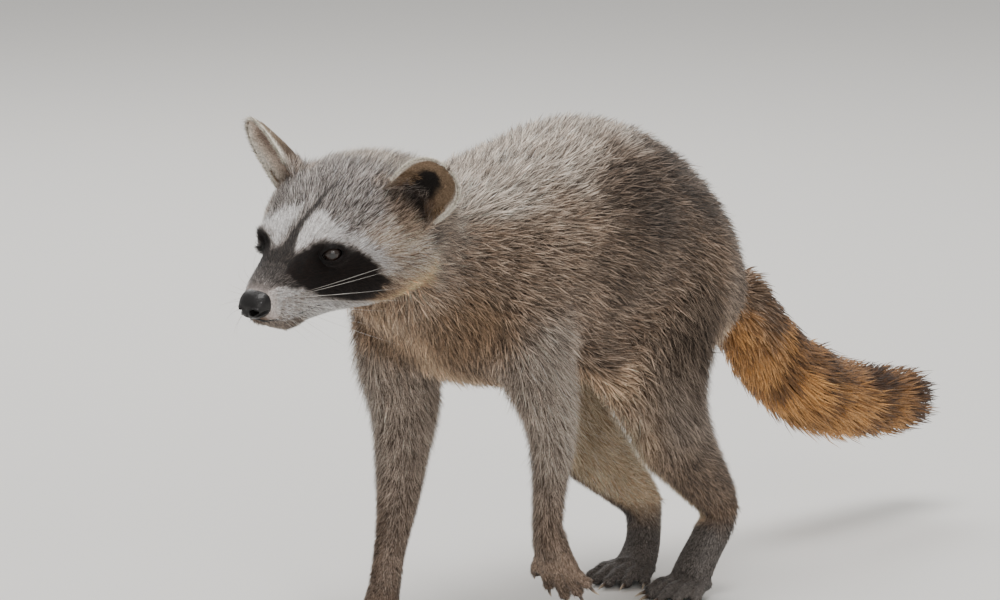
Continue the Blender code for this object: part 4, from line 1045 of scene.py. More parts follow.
def sample(points, corners, weight, count):
    """Roots spread over triangles in proportion to area times weight: triangle and shares of corners."""
    a, b, c = (points[corners[:, k]] for k in range(3))
    area = np.linalg.norm(np.cross(b - a, c - a), axis=1) * weight[corners].mean(1)
    total = np.cumsum(area)
    wanted = (np.arange(count) + draw.uniform(0, 1, count)) * total[-1] / count
    chosen = np.searchsorted(total, wanted)
    u, v = draw.uniform(0, 1, (2, count))
    over = u + v > 1
    u, v = np.where(over, 1 - u, u), np.where(over, 1 - v, v)
    return corners[chosen], np.stack([1 - u - v, u, v], 1)


def gather(values, picked, share):
    """Values at corners blended by each root's shares."""
    found = values[picked]
    return (found * (share if found.ndim == 2 else share[..., None])).sum(1)


# Whole numbers that scatter a cell's place and the seed into numbers from 0 to 1.
CELL_MIX, SEED_MIX = (73856093, 19349663, 83492791), 374761393
SPREAD_MIX, PRIME = (2654435, 40503, 69069), 65521


def clumps(points, size, seed):
    """The nearest seeded centre of a loose grid of cells, and a number for its cell."""
    cell = np.floor(points / size).astype(np.int64)
    best = np.full(len(points), 1e9)
    centre = np.zeros_like(points)
    number = np.zeros(len(points))
    for step in product((-1, 0, 1), repeat=3):
        near = cell + step
        mix = near @ np.array(CELL_MIX) + seed * SEED_MIX
        spread = np.stack([((mix * k) % PRIME) / PRIME for k in SPREAD_MIX], 1)
        middle = (near + 0.15 + 0.7 * spread) * size
        away = ((points - middle) ** 2).sum(1)
        closer = away < best
        best = np.where(closer, away, best)
        centre = np.where(closer[:, None], middle, centre)
        number = np.where(closer, spread[:, 0], number)
    return centre, number


def tuft_faces(rings):
    """Triangles of one tuft: a three sided spike over rings of corners, closed at its root."""
    faces = [(0, 2, 1)]
    for ring in range(rings - 1):
        for k in range(3):
            a, b = 3 * ring + k, 3 * ring + (k + 1) % 3
            faces += [(a, b, b + 3), (a, b + 3, a + 3)]
    last = 3 * (rings - 1)
    for k in range(3):
        faces.append((last + k, last + (k + 1) % 3, 3 * rings))
    return np.array(faces)


TUFT_WIDTHS = (0.85, 1.0, 0.72, 0.5)  # width at each ring, as shares of the widest
TUFT_RIDGE = 0.55  # height of a tuft's ridge as a share of its width
PATCH_LONG, PATCH_WIDE = 0.003, 0.0012  # room of one tuft on the unwrap, along and to each side


def tufts(name, slot, roots, up, lie, length, rise, width, tones, spot, rings, bow, soft):
    """Tufts as one mesh: each runs along lie for its length while it rises, slower and slower, to rise.

    Its faces turn their light towards up by the share soft.
    """
    count = len(roots)
    side = unit(np.cross(up, lie))
    t = np.linspace(0, 1, rings + 1)
    t[1:-1] = t[1:-1] ** 0.9
    lift = 1 - (1 - t) ** bow
    sunk = np.minimum(0.25 * rise + 0.0003, 0.0015)[:, None, None]
    path = (
        roots[:, None, :]
        + lie[:, None, :] * (length[:, None] * t)[..., None]
        + up[:, None, :] * (rise[:, None] * lift)[..., None]
        - up[:, None, :] * sunk * (1 - t)[None, :, None]
    )
    wide = width[:, None] * np.array(TUFT_WIDTHS)[:rings]
    half = side[:, None, :] * (wide / 2)[..., None]
    roof = up[:, None, :] * (wide * TUFT_RIDGE)[..., None]
    body = path[:, :rings]
    ring = np.stack([body - half, body + half, body + roof], 2).reshape(count, 3 * rings, 3)
    points = np.concatenate([ring, path[:, -1:]], 1)
    each = 3 * rings + 1
    faces = (tuft_faces(rings)[None] + (np.arange(count) * each)[:, None, None]).reshape(-1, 3)
    lowest = np.array((*(cad_low[:2] - COAT_REACH[:2]), ABOVE_FLOOR))
    made = make(name, np.clip(points.reshape(-1, 3) + SHIFT, lowest, cad_high + COAT_REACH), [faces])
    mesh = made.data
    shade = np.empty((count, each, 4), np.float32)
    shade[..., 3] = 1
    level = np.linspace(0, len(tones) - 1, rings + 1)
    for k in range(rings + 1):
        low = int(min(level[k], len(tones) - 2))
        tone = tones[low] + (tones[low + 1] - tones[low]) * (level[k] - low)
        shade[:, 3 * k : 3 * k + 3 if k < rings else each, :3] = tone[:, None, :]
    mesh.attributes.new("coat", "FLOAT_COLOR", "POINT").data.foreach_set("color", shade.ravel())
    away = np.concatenate([(ring - np.repeat(body, 3, axis=1)), lie[:, None, :] * 1e-4], 1)
    turned = unit(up[:, None, :] * soft + unit(away) * (1 - soft)).reshape(-1, 3)
    mesh.normals_split_custom_set_from_vertices(turned.astype(np.float32))
    patch = np.empty((count, each, 2), np.float32)
    run = np.concatenate([np.repeat(t[:-1], 3), [1]])[None] - 0.5
    patch[..., 0] = np.repeat(run, count, 0) * PATCH_LONG
    patch[..., 1] = np.tile(np.concatenate([np.tile((-1, 1, 0), rings), [0]]), (count, 1)) * PATCH_WIDE
    patch = (patch + (spot * 0.97 + 0.015)[:, None, :]).reshape(-1, 2)
    layer = mesh.uv_layers.new(name="OFBake")
    layer.data.foreach_set("uv", patch[faces.ravel()].astype(np.float32).ravel())
    place_piece(made, FUR, slot)


CLUMP_SPREAD = 0.30  # how far clumps differ in tone
PALE_SHARE = 0.22  # share of the tufts with paler tips


def speckled(tones, dark_tips, count, numbers, spread):
    """Tones of single tufts: each a little lighter or darker, some tipped dark and some pale."""
    root, middle, tip = tones
    shade = 1 + spread * draw.normal(size=(count, 1)) + CLUMP_SPREAD * (numbers[:, None] - 0.5)
    shade = np.clip(shade, 0.45, 1.7)
    dark = draw.uniform(0, 1, count) < dark_tips
    pale = draw.uniform(0, 1, count) < PALE_SHARE
    tip = np.where(dark[:, None], root * 0.8, np.where(pale[:, None], tip * 1.18, tip))
    middle = np.where(dark[:, None], middle * 0.82, middle)
    return [root * shade, middle * shade, np.clip(tip * shade, 0, 0.95)]


# Finishes


def node(nodes, kind, **values):
    """A new shader node, with inputs set by name, an underscore standing for each space."""
    made = nodes.new("ShaderNode" + kind)
    for name, value in values.items():
        made.inputs[name.replace("_", " ")].default_value = value
    return made


def grizzle():
    """Node group: a coat colour made grainy, with a height of fine strands for bump."""
    group = bpy.data.node_groups.new("grizzle", "ShaderNodeTree")
    for name, way, kind in (("Coat", "INPUT", "Color"), ("Place", "INPUT", "Vector"),
                            ("Coat", "OUTPUT", "Color"), ("Height", "OUTPUT", "Float")):
        group.interface.new_socket(name, in_out=way, socket_type="NodeSocket" + kind)
    nodes, links = group.nodes, group.links
    given, sent = nodes.new("NodeGroupInput"), nodes.new("NodeGroupOutput")
    fine = node(nodes, "TexNoise", Scale=900, Detail=2)
    broad = node(nodes, "TexNoise", Scale=55, Detail=3)
    both = node(nodes, "Math")
    both.operation = "MULTIPLY"
    for k, (noise, swing) in enumerate(((fine, 0.34), (broad, 0.14))):
        links.new(given.outputs["Place"], noise.inputs["Vector"])
        grain = node(nodes, "MapRange", From_Min=0.3, From_Max=0.7, To_Min=1 - swing, To_Max=1 + swing)
        links.new(noise.outputs["Fac"], grain.inputs["Value"])
        links.new(grain.outputs["Result"], both.inputs[k])
    tint = node(nodes, "VectorMath")
    tint.operation = "SCALE"
    links.new(given.outputs["Coat"], tint.inputs[0])
    links.new(both.outputs[0], tint.inputs["Scale"])
    links.new(tint.outputs[0], sent.inputs["Coat"])
    links.new(fine.outputs["Fac"], sent.inputs["Height"])
    return group


GRIZZLE = grizzle()


def finish(name, roughness, specular=0.5, sheen=0.0, coat=0.0):
    """A material with its principled shader."""
    made = bpy.data.materials.new(name)
    made.use_nodes = True
    shader = made.node_tree.nodes["Principled BSDF"]
    for field, value in (("Roughness", roughness), ("Specular IOR Level", specular),
                         ("Sheen Weight", sheen), ("Coat Weight", coat), ("Coat Roughness", 0.04)):
        shader.inputs[field].default_value = value
    return made, made.node_tree.nodes, made.node_tree.links, shader


def bumped(nodes, links, shader, height, strength, distance):
    """Adds bump from a height to a shader."""
    raised = node(nodes, "Bump", Strength=strength, Distance=distance)
    links.new(height, raised.inputs["Height"])
    links.new(raised.outputs["Normal"], shader.inputs["Normal"])
    return raised


def fur(name, roughness, sheen, bump):
    """Hair: its colour attribute made grainy; bump where the hair lies flat."""
    made, nodes, links, shader = finish(name, roughness, 0.20, sheen)
    coat, place, group = (node(nodes, kind) for kind in ("Attribute", "TexCoord", "Group"))
    coat.attribute_name = "coat"
    group.node_tree = GRIZZLE
    links.new(coat.outputs["Color"], group.inputs["Coat"])
    links.new(place.outputs["Object"], group.inputs["Place"])
    links.new(group.outputs["Coat"], shader.inputs["Base Color"])
    if bump:
        bumped(nodes, links, shader, group.outputs["Height"], bump, 0.0004)
    return made


def leather(name, dark, light, scale, roughness, bump):
    """Bare skin: pebbled by a cell texture, its colour and shine uneven."""
    made, nodes, links, shader = finish(name, roughness, 0.28, 0.0, 0.2)
    place = node(nodes, "TexCoord")
    cells = node(nodes, "TexVoronoi", Scale=scale)
    noise = node(nodes, "TexNoise", Scale=scale * 0.35, Detail=3)
    for texture in (cells, noise):
        links.new(place.outputs["Object"], texture.inputs["Vector"])
    colour = node(nodes, "Mix")
    colour.data_type = "RGBA"
    colour.inputs["A"].default_value, colour.inputs["B"].default_value = (*dark, 1), (*light, 1)
    links.new(noise.outputs["Fac"], colour.inputs["Factor"])
    links.new(colour.outputs["Result"], shader.inputs["Base Color"])
    wet = node(nodes, "MapRange", To_Min=roughness * 0.7, To_Max=roughness * 1.4)
    links.new(noise.outputs["Fac"], wet.inputs["Value"])
    links.new(wet.outputs["Result"], shader.inputs["Roughness"])
    bumped(nodes, links, shader, cells.outputs["Distance"], bump, 0.00025).invert = True
    return made


def along_piece(name, stops, roughness, specular, coat, ridged=False):
    """A finish whose colour runs along the attribute named run, from 0 to 1, with a little grain."""
    made, nodes, links, shader = finish(name, roughness, specular, 0.0, coat)
    run, ramp, place, add = (node(nodes, kind) for kind in ("Attribute", "ValToRGB", "TexCoord", "Math"))
    run.attribute_name = "run"
    noise = node(nodes, "TexNoise", Scale=1400, Detail=2)
    links.new(place.outputs["Object"], noise.inputs["Vector"])
    add.operation = "MULTIPLY_ADD"
    add.inputs[1].default_value = 0.10
    links.new(noise.outputs["Fac"], add.inputs[0])
    links.new(run.outputs["Fac"], add.inputs[2])
    links.new(add.outputs[0], ramp.inputs["Fac"])
    for k, (at, tone) in enumerate(stops):
        stop = ramp.color_ramp.elements[k] if k < 2 else ramp.color_ramp.elements.new(at)
        stop.position, stop.color = at, (*tone, 1)
    links.new(ramp.outputs["Color"], shader.inputs["Base Color"])
    if ridged:
        bumped(nodes, links, shader, noise.outputs["Fac"], 0.25, 0.0002)
    return made


def run_along(made, values):
    """Keeps one number a point on a mesh, for a finish that runs along the piece."""
    kept = made.data.attributes.new("run", "FLOAT", "POINT")
    kept.data.foreach_set("value", np.asarray(values, np.float32))


def place_piece(made, material, slot, *nodes):
    """Finishes a piece: its material, what it rides on, and the parts it stands for, which it hides. Its
    slot is not used.
    """
    made.data.materials.append(material)
    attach(made, "root")
    if nodes:
        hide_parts(*nodes)


# Ears


def ear_marks(points):
    """For each point: share on an ear, whether inside its cup, nearness to its rim, height, side."""
    near, cup, rim, level, which = marks = np.zeros((5, len(points)))
    around = 2 * EAR_ARC
    arc = np.linspace(-1, 1, EAR_ARC)
    up = np.concatenate([[-0.2], EAR_LEVELS])
    is_cup = np.tile(np.arange(around) < EAR_ARC, len(up))
    for side in (1, -1):
        grid = ear_grid(side)
        shift = EAR_SHADE_SHIFT * np.sign((grid[20, 0] - grid[20, EAR_ARC - 1]) @ AXES[0])
        turn = np.abs(arc + shift * (1 - arc**2))
        turn = np.concatenate([turn, turn[::-1]])
        edge = np.maximum(turn[None, :], 0.35 * turn[None, :] + 0.65 * smooth(0.55, 1.0, up)[:, None])
        spots = grid.reshape(-1, 3)
        close = np.nonzero(np.linalg.norm(points - spots.mean(0), axis=1) < EAR_REACH)[0]
        for start in range(0, len(close), CHUNK // 4):
            part = close[start : start + CHUNK // 4]
            away = ((points[part][:, None, :] - spots[None]) ** 2).sum(-1)
            best = away.argmin(1)
            distance = np.sqrt(away[np.arange(len(part)), best])
            ring = best // around
            near[part] = smooth(0.0028, 0.0014, distance) * smooth(-0.12, 0.06, up[ring])
            cup[part] = is_cup[best]
            rim[part] = edge.ravel()[best]
            level[part] = up[ring]
            which[part] = side
    return marks


def ear_tones(marks):
    """Colours on the ears: painted shade low in the cup, tan towards the rim, a pale rim, olive brown
    behind.
    """
    _, cup, rim, level, which = marks
    on_far = which < 0
    far = on_far[:, None]
    # The cups are lit and shaded copies of one tone: the near ear's is painted in shade, nearly black in
    # its middle and tan on its wall, and the far ear's is painted lit and pale.
    centre = np.where(far, linear(132, 112, 100), linear(20, 14, 11))
    wall = np.where(far, linear(230, 211, 194), linear(138, 115, 92))
    reach = rim + 0.55 * smooth(0.50, 0.80, level) - 0.15 * smooth(0.35, 0.10, level)
    inner = mixed(centre, wall, np.where(on_far, smooth(0.40, 0.85, rim), smooth(0.26, 0.56, reach)))
    base = smooth(0.25, 0.05, level) * smooth(0.36, 0.50, rim) * (rim < 0.6)
    inner = mixed(inner, linear(128, 102, 80), base)
    behind = mixed(linear(84, 69, 57), linear(122, 105, 88), smooth(0.05, 0.6, level))
    edge = np.where(on_far, smooth(0.72, 0.92, rim), smooth(0.82, 0.94, rim))
    tone = np.where(cup[:, None] > 0.5, inner, behind)
    return mixed(tone, linear(244, 234, 220), edge * smooth(-0.05, 0.15, level))


# The skin, finished

EAR_TONE_STEPS = (0.72, 0.95, 1.06)  # how light the ears' hair is at root, middle and tip
EAR_HAIR = {"cup": 0.0042, "behind": 0.0052, "depth": 0.0009}  # lengths and depth of the ears' hair
NOSE_SEAT = (0.0412, 0.0115, -0.0232)  # bare skin lies ahead of, nearer the middle than and above this

whole = make_skin()
points, corners, outward = read_mesh(whole)
shares, ways = fields(points)
marks = ear_marks(points)
ear_share = marks[0]
tones, _ = coat_tones(points, outward, shares)
ear_tone = ear_tones(marks)
tones = [mixed(old, ear_tone * k, ear_share) for old, k in zip(tones, EAR_TONE_STEPS)]
lie = spread_over(hair_lie(points, outward, shares, ways), corners, 0.6, 40)
lie = unit(flattened(lie, outward))
length = hair_length(points, shares)
local = to_head(points)
tail_rows = spline(TAIL, 60)
tail_deep = np.interp(points[:, 1], tail_rows[:, 1], tail_rows[:, 4] - tail_rows[:, 3])
depth = coat_depth(points, shares) + shares[:, TAIL_R] * tail_deep
for side in (1, -1):
    base, _, axis, _, across = ear_frame(side)
    sideways = np.clip((local - base) @ across / EAR_HALF_WIDTH, -1, 1)[:, None]
    up_ear = unit(flattened(unit((axis + across * sideways * 0.7) @ AXES), outward))
    on_ear = (ear_share * (marks[4] == side))[:, None]
    lie = unit(lie * (1 - on_ear) + up_ear * on_ear)
ear_length = np.where(marks[1] > 0.5, EAR_HAIR["cup"], EAR_HAIR["behind"])
length = length * (1 - ear_share) + ear_share * ear_length
depth = depth * (1 - ear_share) + ear_share * EAR_HAIR["depth"]
eye_away = eye_distance(local)
ahead, above = (local[:, k] > NOSE_SEAT[k] for k in (0, 2))
aside = np.abs(local[:, 1]) < NOSE_SEAT[1]
bald = (eye_away < EYE_RADIUS + 0.0009) | (ahead & aside & above)
sole = smooth(-0.6, -0.85, outward[:, 2]) * shares[:, PAW_R]
furred = np.where(bald, 0, 1.0) * (1 - sole)

under_coat = tones[0] * 0.55 + tones[1] * 0.45
# Painted shade: the skin is darker where the hair over it is long.
skin_tone = mixed(under_coat * 0.75, under_coat, smooth(0.0085, 0.0045, length))
skin_tone = mixed(skin_tone, linear(20, 17, 16), sole)
lid_reach = EYE_RADIUS + LID_THICKNESS
skin_tone = mixed(skin_tone, linear(12, 10, 10), smooth(lid_reach + 0.0006, lid_reach - 0.0002, eye_away))
colour = np.ones((len(points), 4), np.float32)
colour[:, :3] = np.clip(skin_tone, 0, 1)
whole.data.attributes.new("coat", "FLOAT_COLOR", "POINT").data.foreach_set("color", colour.ravel())
whole.data.polygons.foreach_set("use_smooth", np.ones(len(whole.data.polygons), bool))
whole.data.materials.clear()
whole.data.polygons.foreach_set("material_index", np.zeros(len(whole.data.polygons), np.int32))
move_points(whole, points + SHIFT)
FUR = fur("coat_hair", 0.55, 0.05, 0.0)
FLESH = [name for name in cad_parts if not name.startswith(("eye_", "nose"))]
place_piece(whole, fur("skin_under_coat", 0.62, 0.06, 0.55), "coat", *FLESH)


# The coat


HEAD_TURNS_AT, TRUNK_TURNS_AT = 0.014, 0.23  # below the head's frame, above the floor


def unwrap(points, kind):
    """Each root's place on an unwrap of its part: turned about the part's middle, and run along it."""
    x, y, z = points.T
    part, parts = 0 * x, 1
    if kind == "head":
        run, left, up = to_head(points).T
        turn = np.arctan2(left, up + HEAD_TURNS_AT)
    elif kind == "trunk":
        turn, run = np.arctan2(x, z - TRUNK_TURNS_AT), y
    elif kind == "tail":
        turn, run = np.arctan2(x, z - np.interp(y, tail_rows[:, 1], tail_rows[:, 2]) + 1e-6), y
    else:
        part, parts = 2 * (y > REAR_FROM).astype(float) + (x > 0), 4
        middle = np.zeros((parts, 2))
        for k in range(parts):
            if (part == k).any():
                middle[k] = points[part == k][:, :2].mean(0)
        at = middle[part.astype(int)]
        turn, run = np.arctan2(x - at[:, 0], y - at[:, 1]), z + 0.3 * y
    run = (run - run.min()) / max(np.ptp(run), 1e-6)
    return np.stack([(part + 0.5 + turn / (2 * math.pi)) / parts, run], 1)


few = 1.0
TAIL_END = cad_high[1] - SHIFT[1] + COAT_REACH[1]
# Share of tufts that stand out as guard hairs, and how much longer and higher they are.
GUARD_SHARE, GUARD_LONGER, GUARD_HIGHER = 0.06, 1.22, 1.12
SHOWN_ALONG, SHOWN_UP = 0.55, 0.7  # where on a tuft its marking is read, as shares of its reach and rise
TAIL_RAGGED = 0.012  # how unevenly the tail's last hairs end


def grow(name, slot, kind, weight, count, wide, rings=1, clump=0.007, pull=0.45, rise_by=1.0, long_by=1.0,
         soft=0.65, spread=0.18, splay=0.16, bow=1.6, darker=0.0, split=1):
    """A stretch of coat: roots over the skin, each tuft leaning to its clump, in split pieces."""
    count = int(count * few)
    picked, share = sample(points, corners, weight, count)
    root = gather(points, picked, share)
    up = unit(gather(outward, picked, share))
    way = unit(flattened(gather(lie, picked, share), up))
    long = gather(length, picked, share) * long_by
    deep = gather(depth, picked, share) * rise_by
    centre, number = clumps(root, clump, len(name))
    vary = draw.uniform(0.72, 1.12, count) * (0.88 + 0.24 * number)
    guard = draw.uniform(0, 1, count) < GUARD_SHARE
    vary = np.where(guard, vary * GUARD_LONGER, vary)
    towards = flattened(centre - root, up)
    loose = draw.normal(size=(count, 3)) * splay
    reach = flattened(way * (long * vary)[:, None] + pull * towards + loose * long[:, None], up)
    room = TAIL_END - TAIL_RAGGED * draw.uniform(0, 1, count) - root[:, 1]
    reach *= np.clip(room / np.maximum(reach[:, 1], 1e-6), 0.15, 1)[:, None] ** (reach[:, 1:2] > 0)
    far = np.linalg.norm(reach, axis=1)
    rise = deep * draw.uniform(0.55, 1.0, count) * (0.85 + 0.3 * number)
    rise = rise * np.where(guard, GUARD_HIGHER, 1)
    width = wide * draw.uniform(0.75, 1.25, count)
    shown = root + reach * SHOWN_ALONG + up * (rise * SHOWN_UP)[:, None]
    hues, dark = coat_tones(shown, up, gather(shares, picked, share))
    on_ears = gather(ear_share, picked, share)
    hues = [mixed(hue, gather(old, picked, share), on_ears) for hue, old in zip(hues, tones)]
    dark = dark * (1 - on_ears) + 0.04 * on_ears + darker
    hues = speckled(hues, dark, count, number, spread)
    spot = unwrap(root, kind)
    order = np.argsort(root[:, 1], kind="stable")
    for k, part in enumerate(np.array_split(order, split)):
        title = name if split == 1 else f"{name}_{k + 1}"
        tufts(title, slot, root[part], up[part], (reach / far[:, None])[part], far[part], rise[part],
              width[part], [hue[part] for hue in hues], spot[part], rings, bow, soft)


bare_ear = 1 - smooth(0.2, 0.6, ear_share)
face = smooth(-0.040, -0.028, local[:, 0])
head = shares[:, HEAD_R]
thick_coat = np.interp(length, (0.008, 0.02), (1.6, 1.0))
dense_face = np.interp(length, (0.003, 0.010), (1.7, 0.8))
grow("coat_trunk", "coat", "trunk", furred * shares[:, TRUNK_R], 33000, 0.00088, rings=2, clump=0.006,
     pull=0.55, splay=0.28, spread=0.24, rise_by=1.16, split=2)
grow("coat_trunk_guard", "coat", "trunk", furred * shares[:, TRUNK_R], 64000, 0.00055, pull=0.5,
     splay=0.36, rise_by=1.28, long_by=0.92, spread=0.32, darker=0.12, bow=1.2, split=2)
grow("coat_crown_and_cheeks", "face_coat", "head", furred * (head * (1 - face)) * bare_ear, 36000,
     0.00060, clump=0.004, pull=0.35, splay=0.32, spread=0.54)
grow("coat_face", "face_coat", "head", furred * (head * face) * bare_ear * dense_face, 42000, 0.00046,
     clump=0.003, pull=0.25, soft=0.55, splay=0.17, spread=0.46)
for name, region, count in (("coat_forelegs", FORELEG_R, 32000), ("coat_hindlegs", HINDLEG_R, 36000)):
    grow(name, "coat", "legs", furred * shares[:, region] * thick_coat, count, 0.00062, clump=0.005,
         pull=0.4, splay=0.28, spread=0.28, rise_by=1.2)
grow("coat_paws", "paw_coat", "paws", furred * shares[:, PAW_R], 21000, 0.0006, clump=0.003, pull=0.25,
     soft=0.75)
grow("coat_ears", "face_coat", "head", furred * ear_share, 8500, 0.00042, clump=0.003, pull=0.2,
     soft=0.75, splay=0.22, spread=0.25)
grow("coat_tail", "tail_coat", "tail", furred * shares[:, TAIL_R], 11000, 0.00115, rings=3, clump=0.011,
     pull=0.5, splay=0.13, bow=1.9, soft=0.6)


FRINGE_HAIRS, CUP_HAIRS = 1500, 420  # hairs on each edge of an ear's rim, and across its cup


def ear_hairs():
    """A pale fringe round each ear's rim, and tan hairs that cross the cup from its front edge."""
    grown = []
    for side in (1, -1):
        axis, facing = (way @ AXES for way in ear_frame(side)[2:4])
        grid = ear_grid(side)
        rings = len(grid)
        middle = grid.mean(1)
        for first, last in ((0, -1), (EAR_ARC - 1, EAR_ARC)):
            count = int(FRINGE_HAIRS * few)
            at = draw.uniform(1.2, rings - 1.001, count)
            low = at.astype(int)
            share = (at - low)[:, None]
            edge = draw.uniform(0, 1, (count, 1))
            rim_low, rim_high = (
                grid[k, first] * edge + grid[k, last] * (1 - edge) for k in (low, low + 1))
            root = rim_low + (rim_high - rim_low) * share
            out = unit(root - middle[low])
            grown.append((
                root,
                unit(facing + 0.5 * draw.normal(size=(count, 3))),
                unit(out * 0.7 + axis * 0.8 + facing * 0.25 + 0.22 * draw.normal(size=(count, 3))),
                draw.uniform(0.0014, 0.0030, count),
                linear(252, 240, 222) * draw.uniform(0.85, 1.0, (count, 1)),
                np.column_stack([at / rings * 0.5 + 0.25 * (side + 1), edge[:, 0]]),
            ))
        count = int(CUP_HAIRS * few)
        forward = grid[:, 1 : EAR_ARC - 1] @ AXES[0]
        turn = draw.uniform(0, 1, count) ** 0.8
        ring = draw.integers(1, int(rings * 0.26), count)
        order = np.argsort(-forward[ring], axis=1)
        spot = order[np.arange(count), (turn * 0.45 * (EAR_ARC - 3)).astype(int)]
        root = grid[ring, 1 + spot]
        inward = unit(middle[ring] - root)
        grown.append((
            root,
            unit(facing + 0.3 * draw.normal(size=(count, 3))),
            unit(axis * 0.75 + inward * 0.45 + facing * 0.25 + 0.18 * draw.normal(size=(count, 3))),
            draw.uniform(0.003, 0.0065, count),
            np.where(draw.uniform(0, 1, (count, 1)) < 0.5, linear(150, 124, 96), linear(92, 72, 54))
            * draw.uniform(0.7, 1.2, (count, 1)),
            np.column_stack([ring / rings, turn]),
        ))
    root, up, way, long, hue, spot = (np.concatenate(column) for column in zip(*grown))
    tufts("ear_hairs", "face_coat", root, up, unit(flattened(way, up)), long, long * 0.15,
          0.00034 + 0 * long, [hue * 0.85, hue, np.minimum(hue * 1.1, 0.95)], spot, 1, 1.6, 0.6)


ear_hairs()


# Eyes, lids and nose


def make_eye(side):
    """A ball with a low cornea.

    Each ring lies at an angle from the gaze, and keeps that angle as a share of half a turn.
    """
    centre, turn = gaze(side)
    angle = np.linspace(0, math.pi, 50)[1:-1]
    around = circle(48)
    radius = EYE_RADIUS + CORNEA_RISE * np.exp(-((angle / 0.55) ** 4))
    rings = np.stack([
        (radius * np.sin(angle))[:, None] * np.cos(around),
        (radius * np.sin(angle))[:, None] * np.sin(around),
        np.repeat((radius * np.cos(angle))[:, None], len(around), 1),
    ], -1)
    poles = np.array(((0, 0, EYE_RADIUS + CORNEA_RISE), (0, 0, -EYE_RADIUS)))
    form = skin_over(rings @ turn + centre, list(poles @ turn + centre))
    ball = solid("eyeball_" + SIDE_NAMES[side], form, SHIFT)
    run_along(ball, np.concatenate([np.repeat(angle / math.pi, len(around)), [0, 1]]))
    place_piece(ball, EYE, "eye", "eye_" + SIDE_NAMES[side])


def make_lid(side):
    """The moist dark edge of the lids: a thin tube carried round the almond opening on the lid ball."""
    centre, turn = gaze(side)
    stations, around = 72, 12
    turns = circle(stations)
    flat = np.stack([LID_OPENING[0] * np.cos(turns), lid_line(turns)], 1) * 1.03
    ball = EYE_RADIUS + LID_THICKNESS * 0.55
    path = np.column_stack([flat, np.sqrt(ball**2 - (flat**2).sum(1))])
    out = unit(path)
    ahead = unit(np.roll(path, -1, axis=0) - np.roll(path, 1, axis=0))
    aside = unit(np.cross(ahead, out))
    ring = circle(around)
    rings = path[:, None] + LID_EDGE * (
        np.cos(ring)[None, :, None] * aside[:, None] + np.sin(ring)[None, :, None] * out[:, None] * 1.25)
    i, j = np.meshgrid(np.arange(stations), np.arange(around), indexing="ij")
    n, m = (i + 1) % stations, (j + 1) % around
    quads = np.stack([i * around + j, i * around + m, n * around + m, n * around + j], -1).reshape(-1, 4)
    at = rings.reshape(-1, 3) @ turn + centre + SHIFT
    rim = make("lid_edge_" + SIDE_NAMES[side], at, [quads])
    rim.data.flip_normals()
    place_piece(rim, LEATHER, "nose")


# Hollows of the nose leather: place left and up, half sizes, depth. The wing is the raised rim of a
# nostril, and the groove has a half width and a depth.
NOSTRIL = ((0.0051, -0.0158), (0.0025, 0.0020), 0.0042)
SLIT = ((0.0080, -0.0176), (0.0029, 0.0009), 0.0022)
WING = 0.0007
GROOVE = (0.0007, 0.0009)


def make_nose():
    """Nose leather: sections along the muzzle, pushed in where the nostrils, slits and groove are."""
    rings, _, _ = head_rings(NOSE, 90, 150, NOSE_POWER)
    cap = np.linspace(0, 1, 26)[1:-1]
    last, middle = rings[-1], rings[-1].mean(0)
    flat = [middle + (last - middle) * (1 - c) + (0.0008 * (1 - (1 - c) ** 2), 0, 0) for c in cap]
    rings = np.concatenate([rings, flat])
    ahead, left, up = rings[..., 0], np.abs(rings[..., 1]), rings[..., 2]
    front = smooth(0.0455, 0.0500, ahead)
    (at, height), (wide, high), deep = NOSTRIL
    hole = ((left - at) / wide) ** 2 + ((up - height) / high) ** 2
    pit = deep * smooth(1.25, 0.35, hole)
    (at, height), (wide, high), deep = SLIT
    slit = ((left - at) / wide) ** 2 + ((up - height - 0.25 * (left - at)) / high) ** 2
    cut = deep * smooth(1.3, 0.3, slit)
    wing = WING * smooth(2.6, 1.5, hole) * smooth(0.9, 1.4, hole)
    wide, deep = GROOVE
    groove = deep * np.exp(-((left / wide) ** 2)) * smooth(-0.0135, -0.0165, up)
    hollow = np.maximum(pit, cut)
    rings = rings.copy()
    rings[..., 0] -= (hollow + groove - wing) * front
    rings[..., 1] -= 0.25 * np.sign(rings[..., 1]) * hollow * front
    at, quads, fans = skin_over(rings)
    place_piece(solid("nose_leather", (from_head(at), quads, fans), SHIFT), LEATHER, "nose", "nose")


def on_skin(spot):
    """The nearest place of the finished skin to a place in the body's axes, and its outward direction."""
    near, normal, _, _ = tree.find_nearest(Vector(spot + SHIFT))
    return np.array(near) - SHIFT, normal


LIP_RADIUS, LIP_SUNK = 0.00085, 0.0003


def make_lips():
    """The dark line of the mouth: a flat tube along the line, laid on the skin."""
    right = np.array(MOUTH[1:]) * (1, -1, 1)
    line = from_head(spline(np.vstack([right[::-1], MOUTH]), 90))
    laid = np.array([np.concatenate(on_skin(spot)) for spot in line])
    path, out = laid[:, :3] - laid[:, 3:] * LIP_SUNK, unit(laid[:, 3:])
    ahead = unit(np.gradient(path, axis=0))
    aside = unit(np.cross(ahead, out))
    end = np.abs(np.linspace(-1, 1, len(path)))
    thick = LIP_RADIUS * np.sqrt(np.maximum(1 - end**6, 0.02))
    form = skin_over(ovals(path, aside, out, thick, thick * 0.9, thick, around=12))
    place_piece(solid("lips", form, SHIFT), LEATHER, "nose")


